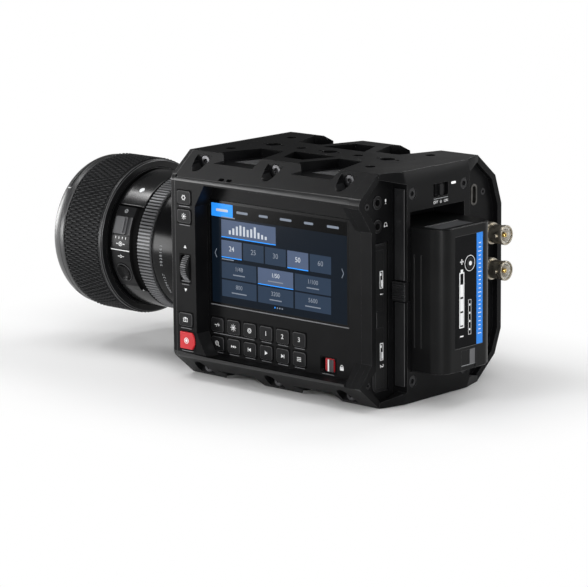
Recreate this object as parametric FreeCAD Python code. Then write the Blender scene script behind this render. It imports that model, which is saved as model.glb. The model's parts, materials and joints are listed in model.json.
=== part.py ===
import FreeCAD
import Part
import math
import os

# Box-shaped cinema camera with its prime lens and battery, in millimetres.
# Z is up, the lens looks along -Y, the operator's screen faces +X and the battery is at +Y.
# The origin is the mouth of the middle tripod thread in the underside.

os.makedirs("parts", exist_ok=True)
V = FreeCAD.Vector

# Housing
body_width = 102.4
crest_tall = 19.6            # from the top of the battery bay to the top face
body_length = 123.0
body_ahead = 59.6            # how far the housing reaches in front of the tripod thread
edge_in = 13.9               # long edge bevels, across
vent_share = 0.62            # how much of a bevel the side vents cross
edge_down = 11.6             # long edge bevels, down
front_plate_thick = 2.6
rear_frame_deep = 6.6
rim_wall = 3.0
rear_panel_drop = 3.0        # the connector panel lies this far inside the rear rim
bulge = 4.9                  # the right side stands out between its bevels
bulge_top = 14.6
bulge_bottom = 12.4
side_wall = 4.2
roof_wall = 10.2
cavity_rear_wall = 10.8

# Recess round the screen
recess_deep = 8.8
recess_wall = 4.9
recess_front = 16.1          # from the housing's front
recess_rear = 10.0           # from the housing's rear
recess_top = 14.3            # from the top face down
recess_bottom = 12.8
recess_corner_along = 6.5
recess_corner_down = 11.1
gusset_top = 27.4            # where the rear corner wedges meet the recess floor
gusset_bottom = 22.0

# Screen and keys
screen_margin = 5.9          # left over beside the screen in the recess
screen_tall = 52.6
screen_thick = 1.5
screen_sunk = 0.2
screen_from_front = 1.7      # recess wall to screen
screen_above_middle = 7.9
screen_gap = 0.15
key_wide = 8.2
key_tall = 7.1
key_corner = 1.3
key_deep = 3.9
key_proud = 0.6
key_travel = 0.8
key_gap = 0.25
key_pitch_share = 0.1125     # of the recess's length
key_pitch_z = 9.6
key_from_front = 6.35        # recess wall to the first key's middle
key_top_z = 28.0
key_columns = 6
edge_key_wide = 9.0
edge_key_tall = 6.7
edge_key_from_front = 9.1
edge_key_upper_down = 21.5    # below the top face
edge_key_lower_down = 30.9
still_key_z = 30.2
record_key_z = 19.6
record_key_wide = 10.0
record_key_tall = 8.6
record_key_point = 1.8
wheel_r = 7.8
wheel_thick = 5.2
wheel_sunk = 5.5             # wheel centre below the rim face
wheel_below_middle = 0.6
wheel_ribs = 24
wheel_rib_deep = 0.45
wheel_slot_wide = 6.6
wheel_slot_tall = 13.6
wheel_pin_r = 1.2
pin_play = 0.05
lock_from_rear = 27.9
lock_z = 18.2
lock_window_wide = 9.4
lock_window_tall = 7.0
lock_knob_wide = 6.6
lock_window_deep = 2.2
lock_knob_proud = 0.5
slide_gap = 0.25
voice_slot_wide = 3.4
voice_slot_tall = 1.8
voice_slot_deep = 3.0
voice_from_front = 33.1
voice_pitch = 5.1
voice_from_edge = 1.8

# Top and bottom faces
strip_wide = 16.4
strip_margin = 23.4          # the strip is this much shorter than the housing
strip_thick = 8.0
strip_corner = 2.5
strip_gap = 0.1
thread_r = 2.55              # tapping size of a 1/4-20 thread
tripod_thread_r = 3.97       # tapping size of a 3/8-16 thread
thread_pitch_y = 18.75
thread_deep = 8.0
locator_r = 1.1
locator_out = 6.1
locator_deep = 3.0
corner_thread_x = 22.4
corner_thread_in = 4.1       # from the strip's end
nose_long = 7.0              # front taper of the side plate
plate_screw_in = 6.0
vent_centre_y = 25.5
vent_inner_x = 13.6
vent_inner_half = 7.6
vent_edge_half = 14.8
vent_outer_half = 12.0
vent_corner_in = 3.1         # front corner, inside the bevel's edge
vent_tooth_in = 3.2          # root and tip of the tooth on the bevel, beyond the bevel's edge
vent_tooth_out = 5.3
vent_tooth_root = 7.1        # and behind the front corner
vent_tooth_tip = 1.9
vent_deep = 4.5
mid_vent_inner_x = 10.3
mid_vent_outer_x = 27.2
mid_vent_inner_half = 13.7
mid_vent_outer_half = 6.5
grille_margin = 2.4
grille_thick = 3.4
grille_sunk = 0.4
grille_gap = 0.05
louvre_pitch = 2.2
louvre_slot = 1.2
screw_seat_x = 39.2
screw_drop = 4.6             # screw axis below the top face
screw_notch_in_half = 4.9
screw_notch_out_half = 4.1
screw_in = 2.6               # from the strip's end
screw_head_r = 2.8
screw_head_thick = 1.7
screw_shank_r = 1.5
screw_shank_long = 5.0
socket_r = 1.4
socket_deep = 1.1
screw_gap = 0.05
screw_ring_gap = 0.35        # round the sunk heads
frame_screw_r = 1.6
frame_screw_thick = 1.0
frame_screw_high = 15.5      # below the top face, screen side
frame_screw_low = 11.5
frame_screw_in = 9.2
frame_screw_far_high = 19.4  # the same on the connector side
frame_screw_far_low = 17.0
frame_screw_far_in = 6.0

# Battery block and bay
block_half = 23.6
block_proud = 6.0            # behind the housing's rear rim
block_facet_down = 6.1
block_facet_in = 1.8
block_flare_thick = 2.8
bay_x = 0.9
bay_wide = 40.6
bay_bottom = 16.0
battery_room = 6.9           # above the battery, to lift it off its hooks
bay_deep = 19.5
bay_wall = 1.6
block_fit = 0.1
battery_wide = 39.6
battery_tall = 70.4
battery_long = 37.2
battery_back_gap = 1.3
battery_floor_gap = 0.3
battery_corner = 7.5
battery_slide = 6.4
patch_left = 16.4            # lighter patch on the battery's top, from the bay's middle
patch_right = 8.4
patch_from = 13.4            # ahead of the battery's rear face
patch_to = 2.9
patch_sunk = 0.3
groove_first = 2.2           # behind the block's rear face
groove_pitch = 4.2
groove_low = 12.0
groove_down = 13.4
latch_left = 6.0
latch_right = -5.1
latch_tall = 9.9
label_sunk = 0.2
label_left = 10.8
label_right = -10.3
label_low = 27.7
label_down = 4.5             # below the battery's top
check_button_r = 2.6
check_button_x = -0.4
check_button_down = 18.5
check_button_deep = 1.6
check_button_proud = 0.2
check_button_travel = 0.5
contact_wide = 20.0
contact_tall = 8.0
contact_z = 26.0
contact_thick = 0.9
release_tall = 9.2
release_below_middle = 1.3
release_thick = 3.1
release_proud = 1.9
release_travel = 1.2
release_ribs = 7
power_window_wide = 11.2
power_window_tall = 6.4
power_window_x = -1.6
power_window_down = 11.6     # below the top face
power_window_deep = 2.4
power_base_wide = 5.4
power_knob_wide = 2.6
power_knob_proud = 0.6
led_x = -11.2
led_down = 9.5
led_wide = 3.4
led_tall = 1.1
led_deep = 2.5
block_screw_x = 19.4
block_screw_z = 11.0
block_screw_r = 2.7

# Rear connectors and media door
jack_in = 16.4               # from the screen side
jack_upper_down = 14.3
jack_lower_down = 25.7
jack_r = 3.2
jack_bore_r = 1.75
jack_deep = 11.0
jack_proud = 0.5
door_from_block = 3.7        # hinge side to the battery block
door_in = 12.4               # free side to the screen side
door_low = 7.2
door_down = 34.0
door_depth = 2.6             # behind the panel
door_proud = 0.4
door_gap = 0.3
door_corner = 3.0
door_pin_r = 0.6
door_pin_long = 1.5
door_tab_tall = 7.0
door_tab_wide = 3.0
door_tab_below_middle = 0.8
slots_in = 3.2               # from the door's ends
slots_low_in = 4.8
slots_long = 34.0
card_slot_share = 0.435      # of the holder's width
card_slot_tall = 30.2
card_slot_deep = 28.0
usb_in = 13.2                # from the connector side
usb_down = 20.0
usb_tall = 8.9
usb_wide = 3.2
usb_collar = 0.8
usb_deep = 6.5
bnc_in = 4.9
bnc_upper_down = 39.8
bnc_lower_down = 57.6
bnc_r = 4.95
bnc_neck_r = 4.7
bnc_plain = 2.0              # full width in front of the lugs
bnc_bore_r = 4.05
bnc_long = 14.2
bnc_nut_r = 5.6
bnc_nut_thick = 5.4
bnc_stub = 6.0
bnc_lug_r = 0.95
bnc_lug_proud = 1.1
bnc_lug_back = 2.97
bnc_core_r = 1.15
bnc_core_back = 0.7
bnc_floor = 7.4              # bore's depth
power_in_in = 9.2
power_in_z = 33.0
power_in_r = 6.0
power_in_well_r = 4.7
power_in_deep = 6.0
power_pin_r = 0.5

# Inside
sensor_wide = 48.0
sensor_tall = 34.0
sensor_thick = 4.0
flange_depth = 20.0
board_thick = 1.6
sensor_board_wide = 60.0
sensor_board_tall = 60.0
post_r = 3.0
sink_wide = 56.0
sink_tall = 50.0
sink_base = 3.5
sink_deep = 17.0
sink_fins = 9
sink_fin_thick = 1.5
fan_size = 50.0
fan_deep = 13.0
fan_wall = 1.5
fan_hub_r = 10.0
fan_blade_r = 21.5
fan_blades = 7
fan_shaft_r = 1.5
board_low = 13.0
board_down = 15.2            # below the top face
board_ahead_gap = 3.0        # behind the front plate
board_rear_gap = 1.0         # before the card slots
board_post_in = 5.0
chip_thick = 1.6
chip_large = 20.0
chip_small = 9.0
sensor_frame = 5.0           # round the sensor's window
sensor_frame_tall = 4.0
seat_lip = 1.6               # mount ring below its seat
opening_gap = 1.2
board_stand = 2.4

# Lens mount
lens_above_middle = 0.2
mount_r = 31.0
mount_bore_r = 25.8
mount_proud = 1.0
mount_thick = 4.6
mount_tab_r = 24.5
mount_tab_thick = 1.3
mount_tab_deg = 52.0
mount_screw_r = 28.6
plate_boss_r = 37.0
plate_boss_proud = 0.7
release_button_r = 4.4
lens_button_in = 17.2        # from the connector side
lens_button_below_lens = 23.8
lens_button_proud = 2.4
lens_button_guard = 1.0
lens_button_travel = 1.6

# Lens, distances measured forward from its mounting flange
lens_long = 98.6
bayonet_r = 24.0
bayonet_long = 4.6
lug_r = 25.45
lug_thick = 1.4
lug_deg = 50.0
lens_wall = 2.6
lens_foot_r = 31.4
lens_foot_long = 4.0
lens_rear_r = 34.9
aperture_from = 30.0
aperture_wide = 9.7
aperture_r = 35.6
aperture_ribs = 60
aperture_rib_deep = 0.5
groove_wide = 0.4
panel_wide = 17.9
panel_r = 35.6
slot_wide = 4.5              # beside the switch panel
slot_deep = 1.5
slot_top_deg = 36.6
slot_top_tall_deg = 1.7
slot_low_deg = -40.0
focus_from = 60.9
focus_wide = 27.9
focus_r = 40.1
focus_grip_thick = 1.3
focus_ring_thick = 2.4
focus_ribs = 48
focus_rib_deep = 0.55
focus_lip = 2.1
focus_lip_r = 40.4
ring_gap = 0.3
front_rim_r = 37.4
front_flat = 2.5             # straight part behind the rounded front
lens_step = 3.0
lens_flare_long = 9.0        # the barrel opens out behind the aperture ring
lens_flare_end = 14.0
filter_r = 35.7
filter_deep = 4.0
front_glass_thick = 7.8
front_glass_edge = 2.6
rear_glass_thick = 6.0
switch_deg = 18.7
switch_window_long = 12.1
switch_window_tall = 9.4
panel_middle_shift = 2.0     # the switch panel's middle, ahead of the ring's
switch_window_deep = 1.6
switch_knob_long = 8.4
focus_button_deg = -21.8
focus_button_r = 5.2
focus_button_deep = 2.0
focus_button_proud = 0.3
focus_button_travel = 0.6

# Places worked out from the sizes above
half = body_width / 2
bay_top = bay_bottom + battery_floor_gap + battery_tall + battery_room
body_height = bay_top + crest_tall
y_front = -body_ahead
y_plate = y_front + front_plate_thick
y_rear = y_front + body_length
y_seam = y_rear - rear_frame_deep
y_panel = y_rear - rear_panel_drop
y_block = y_rear + block_proud
recess_x = half - recess_deep
cavity_x = recess_x - recess_wall
cavity_left = -half + side_wall
cavity_low = roof_wall
cavity_high = body_height - roof_wall
y_cavity = y_seam - cavity_rear_wall
y_bay = y_block - bay_deep
flange_y = y_front - mount_proud
y_sensor = flange_y + flange_depth
strip_long = body_length - strip_margin
recess_long = body_length - recess_front - recess_rear
screen_wide = recess_long - screen_margin
screen_y = y_front + recess_front + screen_from_front + screen_wide / 2
screen_z = body_height / 2 + screen_above_middle
key_pitch_y = recess_long * key_pitch_share
key_first_y = y_front + recess_front + key_from_front
edge_key_y = y_front + edge_key_from_front
edge_key_upper_z = body_height - edge_key_upper_down
edge_key_lower_z = body_height - edge_key_lower_down
wheel_z = body_height / 2 - wheel_below_middle
lock_y = y_rear - lock_from_rear
voice_first_y = y_front + voice_from_front
corner_thread_y = strip_long / 2 - corner_thread_in
screw_pitch_y = strip_long / 2 - screw_in
screw_z = body_height - screw_drop
battery_top = bay_top - battery_room
label_high = battery_top - label_down
check_button_z = battery_top - check_button_down
release_z = body_height / 2 - release_below_middle
power_window_z = body_height - power_window_down
led_z = body_height - led_down
jack_x = half - jack_in
jack_upper_z = body_height - jack_upper_down
jack_lower_z = body_height - jack_lower_down
door_right = block_half + door_from_block
door_left = half - door_in
door_high = body_height - door_down
door_tab_z = (door_low + door_high) / 2 - door_tab_below_middle
slots_low = door_low + slots_low_in
slots_high = door_high - slots_in
usb_x = -half + usb_in
usb_z = body_height - usb_down
bnc_x = -half + bnc_in
bnc_upper_z = body_height - bnc_upper_down
bnc_lower_z = body_height - bnc_lower_down
power_in_x = -half + power_in_in
board_high = body_height - board_down
board_front = y_plate + board_ahead_gap
board_rear = y_panel - door_depth - door_gap - slots_long - board_rear_gap
lens_z = body_height / 2 + lens_above_middle
lens_button_x = -half + lens_button_in
lens_button_z = lens_z - lens_button_below_lens
parts = {}


def box(x0, x1, y0, y1, z0, z1):
    return Part.makeBox(x1 - x0, y1 - y0, z1 - z0, V(x0, y0, z0))


def flat(points):
    return Part.Face(Part.makePolygon(points + [points[0]]))


def prism_x(outline, x0, x1):
    return flat([V(x0, y, z) for y, z in outline]).extrude(V(x1 - x0, 0, 0))


def prism_y(outline, y0, y1):
    return flat([V(x, y0, z) for x, z in outline]).extrude(V(0, y1 - y0, 0))


def prism_z(outline, z0, z1):
    return flat([V(x, y, z0) for x, y in outline]).extrude(V(0, 0, z1 - z0))


def rod_x(x0, x1, y, z, r):
    return Part.makeCylinder(r, x1 - x0, V(x0, y, z), V(1, 0, 0))


def rod_y(y0, y1, x, z, r):
    return Part.makeCylinder(r, y1 - y0, V(x, y0, z), V(0, 1, 0))


def rod_z(z0, z1, x, y, r):
    return Part.makeCylinder(r, z1 - z0, V(x, y, z0), V(0, 0, 1))


def rounded(block, direction, r):
    # Rounds the four edges of a box that run along one direction
    along = [e for e in block.Edges if abs(e.tangentAt(e.FirstParameter).dot(direction)) > 0.99]
    return block.makeFillet(r, along)


def pad_x(x0, x1, y, z, wide, tall, r):
    block = box(x0, x1, y - wide / 2, y + wide / 2, z - tall / 2, z + tall / 2)
    return rounded(block, V(1, 0, 0), r)


def pad_y(y0, y1, x, z, wide, tall, r):
    block = box(x - wide / 2, x + wide / 2, y0, y1, z - tall / 2, z + tall / 2)
    return rounded(block, V(0, 1, 0), r)


def hexagon_rod_x(x0, x1, y, z, r):
    corners = [(y + r * math.cos(math.radians(60 * k)), z + r * math.sin(math.radians(60 * k)))
               for k in range(6)]
    return prism_x(corners, x0, x1)


def hexagon_rod_y(y0, y1, x, z, r):
    corners = [(x + r * math.cos(math.radians(60 * k)), z + r * math.sin(math.radians(60 * k)))
               for k in range(6)]
    return prism_y(corners, y0, y1)


def upside(shape):
    # The same shape at the underside of the housing
    return shape.mirror(V(0, 0, body_height / 2), V(0, 0, 1))


def leftside(shape):
    return shape.mirror(V(0, 0, 0), V(1, 0, 0))


def all_round(shape):
    # A feature of one long bevel, copied to all four
    return [shape, leftside(shape), upside(shape), upside(leftside(shape))]


def turned(profile):
    # Turns a profile of (radius, distance ahead of the flange) about the lens axis
    points = [V(r, flange_y - ahead, lens_z) for r, ahead in profile]
    return flat(points).revolve(V(0, 0, lens_z), V(0, 1, 0), 360)


def about_lens(shape, degrees):
    # A positive angle lifts a point on the +X side
    turned_shape = shape.copy()
    turned_shape.rotate(V(0, 0, lens_z), V(0, 1, 0), -degrees)
    return turned_shape


def sector(r_in, r_out, ahead0, ahead1, degrees, middle):
    # Part of a ring about the lens axis
    ring = turned([(r_in, ahead0), (r_out, ahead0), (r_out, ahead1), (r_in, ahead1)])
    reach = r_out * 3
    spread = math.radians(degrees / 2)
    wedge = flat([V(0, flange_y - ahead1 - 1, lens_z),
                  V(reach * math.cos(spread), flange_y - ahead1 - 1, lens_z + reach * math.sin(spread)),
                  V(reach * math.cos(spread), flange_y - ahead1 - 1, lens_z - reach * math.sin(spread))])
    wedge = wedge.extrude(V(0, abs(ahead1 - ahead0) + 2, 0))
    return about_lens(ring.common(wedge), middle)


def inset(outline, distance):
    # Moves each side of a convex outline inwards by the same distance
    count = len(outline)
    area = sum(outline[k][0] * outline[(k + 1) % count][1] - outline[(k + 1) % count][0] * outline[k][1]
               for k in range(count))
    turn = 1 if area > 0 else -1
    sides = []
    for k in range(count):
        (x0, y0), (x1, y1) = outline[k], outline[(k + 1) % count]
        long = math.hypot(x1 - x0, y1 - y0)
        nx, ny = -(y1 - y0) / long * turn, (x1 - x0) / long * turn
        sides.append((nx, ny, nx * x0 + ny * y0 + distance))
    corners = []
    for k in range(count):
        a, b = sides[k - 1], sides[k]
        det = a[0] * b[1] - a[1] * b[0]
        corners.append(((a[2] * b[1] - a[1] * b[2]) / det, (a[0] * b[2] - a[2] * b[0]) / det))
    return corners


def screw_y(y_face, x, z, r, thick, sink):
    # A countersunk-flush socket screw whose head is seen from behind
    head = rod_y(y_face - sink - thick, y_face - sink, x, z, r)
    shank = rod_y(y_face - sink - thick - screw_shank_long, y_face - sink - thick, x, z, screw_shank_r)
    socket = hexagon_rod_y(y_face - sink - socket_deep, y_face, x, z, r * 0.5)
    return head.fuse(shank).cut(socket).removeSplitter()


def screw_hole_y(y_face, x, z, r, thick, sink):
    bore = rod_y(y_face - sink - thick, y_face + 1, x, z, r + screw_gap)
    deep = rod_y(y_face - sink - thick - screw_shank_long - screw_gap, y_face, x, z,
                 screw_shank_r + screw_gap)
    return bore.fuse(deep)


# Outlines

def housing_outline(with_bulge):
    low, high = edge_down, body_height - edge_down
    right = [(half - edge_in, 0), (half, low), (half, high), (half - edge_in, body_height)]
    left = [(-half + edge_in, body_height), (-half, high)]
    if with_bulge:
        left += [(-half - bulge, high - bulge_top), (-half - bulge, low + bulge_bottom)]
    left += [(-half, low), (-half + edge_in, 0)]
    return right + left


def gusset_profile(x_in):
    # The opening beside the screen, seen from behind, between the two corner wedges
    rise = recess_deep * 1.4
    low, high = gusset_bottom, body_height - gusset_top
    over = 1.2
    return [(x_in, low), (x_in, high), (half + over, high + rise * (1 + over / recess_deep)),
            (half + over, low - rise * (1 + over / recess_deep) + 2)]


def recess_outline(grow):
    low, high = recess_bottom - grow, body_height - recess_top + grow
    front = y_front + recess_front - grow
    rear = y_rear - recess_rear
    return [(front, low + recess_corner_down), (front, high - recess_corner_down),
            (front + recess_corner_along, high), (rear, high), (rear, low),
            (front + recess_corner_along, low)]


def vent_outline(centre):
    # The front end steps back round a small tooth where it crosses the bevel
    outer = half - edge_in * (1 - vent_share)
    bevel, front = half - edge_in, centre - vent_edge_half
    return [(vent_inner_x, centre - vent_inner_half), (vent_inner_x, centre + vent_inner_half),
            (bevel, centre + vent_edge_half), (outer, centre + vent_outer_half),
            (outer, front + vent_tooth_tip), (bevel + vent_tooth_out, front + vent_tooth_tip),
            (bevel + vent_tooth_in, front + vent_tooth_root), (bevel - vent_corner_in, front)]


def mid_vent_outline():
    return [(mid_vent_inner_x, -mid_vent_inner_half), (mid_vent_inner_x, mid_vent_inner_half),
            (mid_vent_outer_x, mid_vent_outer_half), (mid_vent_outer_x, -mid_vent_outer_half)]


def grille_outline(centre):
    outer = half - edge_in - grille_margin
    share = (outer - vent_inner_x) / (half - edge_in - vent_inner_x)
    wide = vent_inner_half + share * (vent_edge_half - vent_inner_half)
    ring = [(vent_inner_x, centre - vent_inner_half), (vent_inner_x, centre + vent_inner_half),
            (outer, centre + wide), (outer, centre - wide)]
    return inset(ring, grille_margin)


def strip_outline(grow):
    wide, long, cut = strip_wide / 2 + grow, strip_long / 2 + grow, strip_corner
    return [(-wide, -long + cut), (-wide + cut, -long), (wide - cut, -long), (wide, -long + cut),
            (wide, long - cut), (wide - cut, long), (-wide + cut, long), (-wide, long - cut)]


# Keys of the operator's side: name, middle along Y, height, width, tallness

def pad_keys():
    names = [["iso_key", "balance_key", "shutter_key", "one_key", "two_key", "three_key"],
             ["zoom_key", "speed_key", "back_key", "play_key", "next_key", "menu_key"]]
    for row in range(2):
        for column in range(key_columns):
            yield (names[row][column], key_first_y + column * key_pitch_y, key_top_z - row * key_pitch_z)


def edge_keys():
    yield "settings_key", edge_key_upper_z
    yield "assist_key", edge_key_lower_z
    yield "still_key", still_key_z


def key_shape(x_face, y, z, wide, tall, gap, deep, proud):
    return pad_x(x_face - deep, x_face + proud, y, z, wide + 2 * gap, tall + 2 * gap, key_corner + gap)


def record_key_shape(gap, deep, proud):
    wide, tall = record_key_wide / 2 + gap, record_key_tall / 2 + gap
    y, z = edge_key_y + 0.9, record_key_z
    point = record_key_point
    outline = [(y - wide, z - tall), (y - wide, z + tall), (y + wide - point, z + tall),
               (y + wide, z + tall - point * 1.5), (y + wide, z - tall + point * 1.5),
               (y + wide - point, z - tall)]
    return prism_x(outline, half - deep, half + proud)


# Housing pieces

def face_holes():
    # Threads, locating holes and vents of the top face, on the housing's own metal
    tools = []
    for sx in (-1, 1):
        for sy in (-1, 1):
            tools.append(rod_z(body_height - thread_deep, body_height + 1,
                               sx * corner_thread_x, sy * corner_thread_y, thread_r))
    tools.append(prism_z(strip_outline(strip_gap), body_height - strip_thick, body_height + 1))
    floor = body_height - vent_deep
    for centre in (-vent_centre_y, vent_centre_y):
        pocket = prism_z(vent_outline(centre), floor, body_height + 1)
        throat = prism_z(grille_outline(centre), cavity_high - 1, floor + 1)
        for tool in (pocket, throat):
            tools += [tool, leftside(tool)]
    pocket = prism_z(mid_vent_outline(), floor, body_height + 1)
    throat = prism_z(inset(mid_vent_outline(), grille_margin), cavity_high - 1, floor + 1)
    for tool in (pocket, throat):
        tools += [tool, leftside(tool)]
    return tools


def screw_notches():
    tools = []
    for k in (-1, 0, 1):
        y = k * screw_pitch_y
        outline = [(screw_seat_x, y - screw_notch_in_half), (screw_seat_x, y + screw_notch_in_half),
                   (half, y + screw_notch_out_half), (half, y - screw_notch_out_half)]
        notch = prism_z(outline, screw_z, body_height + 1)
        access = rod_x(screw_seat_x, half, y, screw_z, screw_notch_out_half)
        under = screw_seat_x - screw_head_thick
        seat = rod_x(under, screw_seat_x + 1, y, screw_z, screw_head_r + screw_ring_gap)
        hole = rod_x(under - screw_shank_long - screw_gap, under + 1, y, screw_z, screw_shank_r + screw_gap)
        tools += all_round(notch.fuse([access, seat, hole]))
    return tools


def key_wells():
    tools = []
    for name, y, z in pad_keys():
        tools.append(key_shape(recess_x, y, z, key_wide, key_tall, key_gap, recess_wall + 1, 1))
    for name, z in edge_keys():
        tools.append(key_shape(half, edge_key_y, z, edge_key_wide, edge_key_tall, key_gap,
                               key_deep + key_travel + key_gap, 1))
    tools.append(record_key_shape(key_gap, key_deep + key_travel + key_gap, 1))
    return tools


def wheel_well():
    x = half - wheel_sunk
    deep = wheel_sunk + wheel_r + 0.4
    slot = pad_x(half - deep, half + 1, edge_key_y, wheel_z, wheel_slot_wide, wheel_slot_tall, 1.2)
    room = rod_y(edge_key_y - wheel_thick / 2 - ring_gap, edge_key_y + wheel_thick / 2 + ring_gap,
                 x, wheel_z, wheel_r + 0.4)
    return slot.fuse(room)


def wheel_pin_hole():
    x = half - wheel_sunk
    reach = wheel_slot_wide / 2 + 2.0
    return rod_y(edge_key_y - reach, edge_key_y + reach, x, wheel_z, wheel_pin_r)


def voice_slots():
    # Two short slots low on the upper bevel, for the microphone
    slope = math.atan2(edge_down, edge_in)
    tools = []
    for k in range(2):
        y = voice_first_y + k * voice_pitch
        slot = Part.makeBox(voice_slot_deep + 1, voice_slot_wide, voice_slot_tall,
                            V(-voice_slot_deep, -voice_slot_wide / 2, -voice_slot_tall / 2))
        slot = rounded(slot, V(1, 0, 0), voice_slot_tall * 0.45)
        slot.rotate(V(0, 0, 0), V(0, 1, 0), -90 + math.degrees(slope))
        x = half - voice_from_edge * math.cos(slope)
        z = body_height - edge_down + voice_from_edge * math.sin(slope)
        slot.translate(V(x, y, z))
        tools.append(slot)
    return tools


def connector_holes(y_low):
    # Clearance for everything that passes the rear wall, from y_low to beyond the panel
    top = y_panel + 1
    tools = [rod_y(y_low, top, jack_x, z, jack_r + block_fit) for z in (jack_upper_z, jack_lower_z)]
    tools += [rod_y(max(y_low, y_panel - bnc_stub), top, bnc_x, z, bnc_r + block_fit)
              for z in (bnc_upper_z, bnc_lower_z)]
    tools.append(rod_y(max(y_low, y_panel - power_in_deep - 1), top, power_in_x, power_in_z,
                       power_in_r + block_fit))
    collar = usb_collar + block_fit
    tools.append(pad_y(max(y_low, y_panel - usb_deep - 1), top, usb_x, usb_z, usb_wide + 2 * collar,
                       usb_tall + 2 * collar, (usb_wide + 2 * collar) * 0.49))
    grow = bay_wall + block_fit
    tools.append(box(bay_x - bay_wide / 2 - grow, bay_x + bay_wide / 2 + grow, max(y_low, y_bay - grow), top,
                     bay_bottom - grow, bay_top + grow))
    x0, x1 = slots_span()
    tools.append(box(x0 - 0.1, x1 + 0.1, y_low, top, slots_low, slots_high))
    return tools


def body_shell():
    shape = prism_y(housing_outline(False), y_plate, y_seam)
    cavity = box(cavity_left, cavity_x, y_plate - 1, y_cavity, cavity_low, cavity_high)
    tools = [cavity, prism_x(recess_outline(0), recess_x, half + 1),
             prism_y(gusset_profile(recess_x), y_rear - recess_rear - 0.01, y_seam + 1)]
    pocket_x = recess_x - screen_sunk - screen_thick
    tools.append(box(pocket_x, recess_x + 1, screen_y - screen_wide / 2 - screen_gap,
                     screen_y + screen_wide / 2 + screen_gap, screen_z - screen_tall / 2 - screen_gap,
                     screen_z + screen_tall / 2 + screen_gap))
    for tool in face_holes():
        tools += [tool, upside(tool)]
    tools += screw_notches() + key_wells() + voice_slots() + connector_holes(y_cavity - 1)
    tools.append(wheel_well())
    tools.append(wheel_pin_hole())
    tools.append(pad_x(recess_x - lock_window_deep, recess_x + 1, lock_y, lock_z, lock_window_wide,
                       lock_window_tall, 1.2))
    for x, z in frame_screws():
        tools.append(screw_hole_y(y_panel, x, z, frame_screw_r, frame_screw_thick, 0))
    tools.append(rod_y(y_plate - 1, y_plate + 0.1 + lens_button_travel, lens_button_x, lens_button_z,
                       release_button_r + key_gap))
    return shape.cut(Part.makeCompound(tools))


def front_plate():
    shape = prism_y(housing_outline(False), y_front, y_plate)
    boss = rod_y(y_front - plate_boss_proud, y_front, 0, lens_z, plate_boss_r)
    guard = rod_y(y_front - lens_button_guard, y_front, lens_button_x, lens_button_z, release_button_r + 1.8)
    shape = shape.fuse([boss, guard])
    for sx in (-1, 1):
        for sz in (-1, 1):
            x = sx * (sensor_board_wide / 2 - post_r)
            z = lens_z + sz * (sensor_board_tall / 2 - post_r)
            shape = shape.fuse(rod_y(y_plate - 0.5, y_sensor + sensor_thick / 2, x, z, post_r))
    opening = rod_y(flange_y - 1, y_plate + 1, 0, lens_z, mount_bore_r + opening_gap)
    seat = rod_y(flange_y - 1, flange_y + mount_thick - seat_lip, 0, lens_z, mount_r + 0.1)
    button = rod_y(flange_y - 1, y_plate + 1, lens_button_x, lens_button_z, release_button_r + key_gap)
    return shape.cut(Part.makeCompound([opening, seat, button])).removeSplitter()


def rear_frame():
    outline = housing_outline(True)
    shape = prism_y(outline, y_seam, y_rear)
    tools = [prism_y(inset(outline, rim_wall), y_panel, y_rear + 1),
             prism_y(gusset_profile(recess_x), y_seam - 1, y_rear + 1),
             box(-block_half, block_half, y_panel, y_rear + 1, -1, body_height + 1)]
    shape = shape.cut(Part.makeCompound(tools))
    # the panel between the screen side's open edge and the rim keeps a lip as thick as the rim
    lip = prism_y([(recess_x - rim_wall, gusset_bottom), (recess_x, gusset_bottom),
                   (recess_x, body_height - gusset_top), (recess_x - rim_wall, body_height - gusset_top)],
                  y_panel - 0.01, y_rear)
    shape = shape.fuse(lip)
    shape = shape.fuse(wedge_backs())
    tools = connector_holes(y_seam - 1)
    tools.append(door_hole())
    for x, z in frame_screws():
        tools.append(screw_hole_y(y_panel, x, z, frame_screw_r, frame_screw_thick, 0))
    return shape.cut(Part.makeCompound(tools)).removeSplitter()


def wedge_backs():
    # The rear ends of the two corner wedges, as thick as the rim
    low, high = gusset_bottom, body_height - gusset_top
    rise = recess_deep * 1.4
    lean = rim_wall * 1.1
    inner = recess_x - rim_wall
    upper = [(inner, high), (recess_x, high), (half, high + rise), (half - 0.1, high + rise + lean),
             (inner, high + lean)]
    lower = [(inner, low), (inner, low - lean), (half - 0.1, low - rise + 2 - lean),
             (half, low - rise + 2), (recess_x, low)]
    both = prism_y(upper, y_panel - 0.01, y_rear).fuse(prism_y(lower, y_panel - 0.01, y_rear))
    return both.common(prism_y(housing_outline(True), y_panel - 1, y_rear))


def frame_screws():
    near, far = half - frame_screw_in, -half + frame_screw_far_in
    return [(near, body_height - frame_screw_high), (near, frame_screw_low),
            (far, body_height - frame_screw_far_high), (far, frame_screw_far_low)]


def side_plate():
    high, low = body_height - edge_down, edge_down
    outline = [(-half, high), (-half - bulge, high - bulge_top), (-half - bulge, low + bulge_bottom),
               (-half, low)]
    shape = prism_y(outline, y_plate, y_seam)
    nose = [(y_plate - 1, -half), (y_plate - 1, -half - bulge - 1), (y_plate + nose_long, -half - bulge - 1),
            (y_plate + 1, -half)]
    shape = shape.cut(prism_z([(x, y) for y, x in nose], 0, body_height))
    tools = [rod_x(-half - bulge - 1, -half - 0.4, k * 2 * thread_pitch_y, lens_z, thread_r)
             for k in (-1, 0, 1)]
    for sy in (-1, 1):
        for z in (low + bulge_bottom + plate_screw_in, high - bulge_top - plate_screw_in):
            tools.append(rod_x(-half - bulge - 1, -half - bulge + 1.8, sy * screw_pitch_y, z,
                               screw_head_r + screw_gap))
    return shape.cut(Part.makeCompound(tools))


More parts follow.
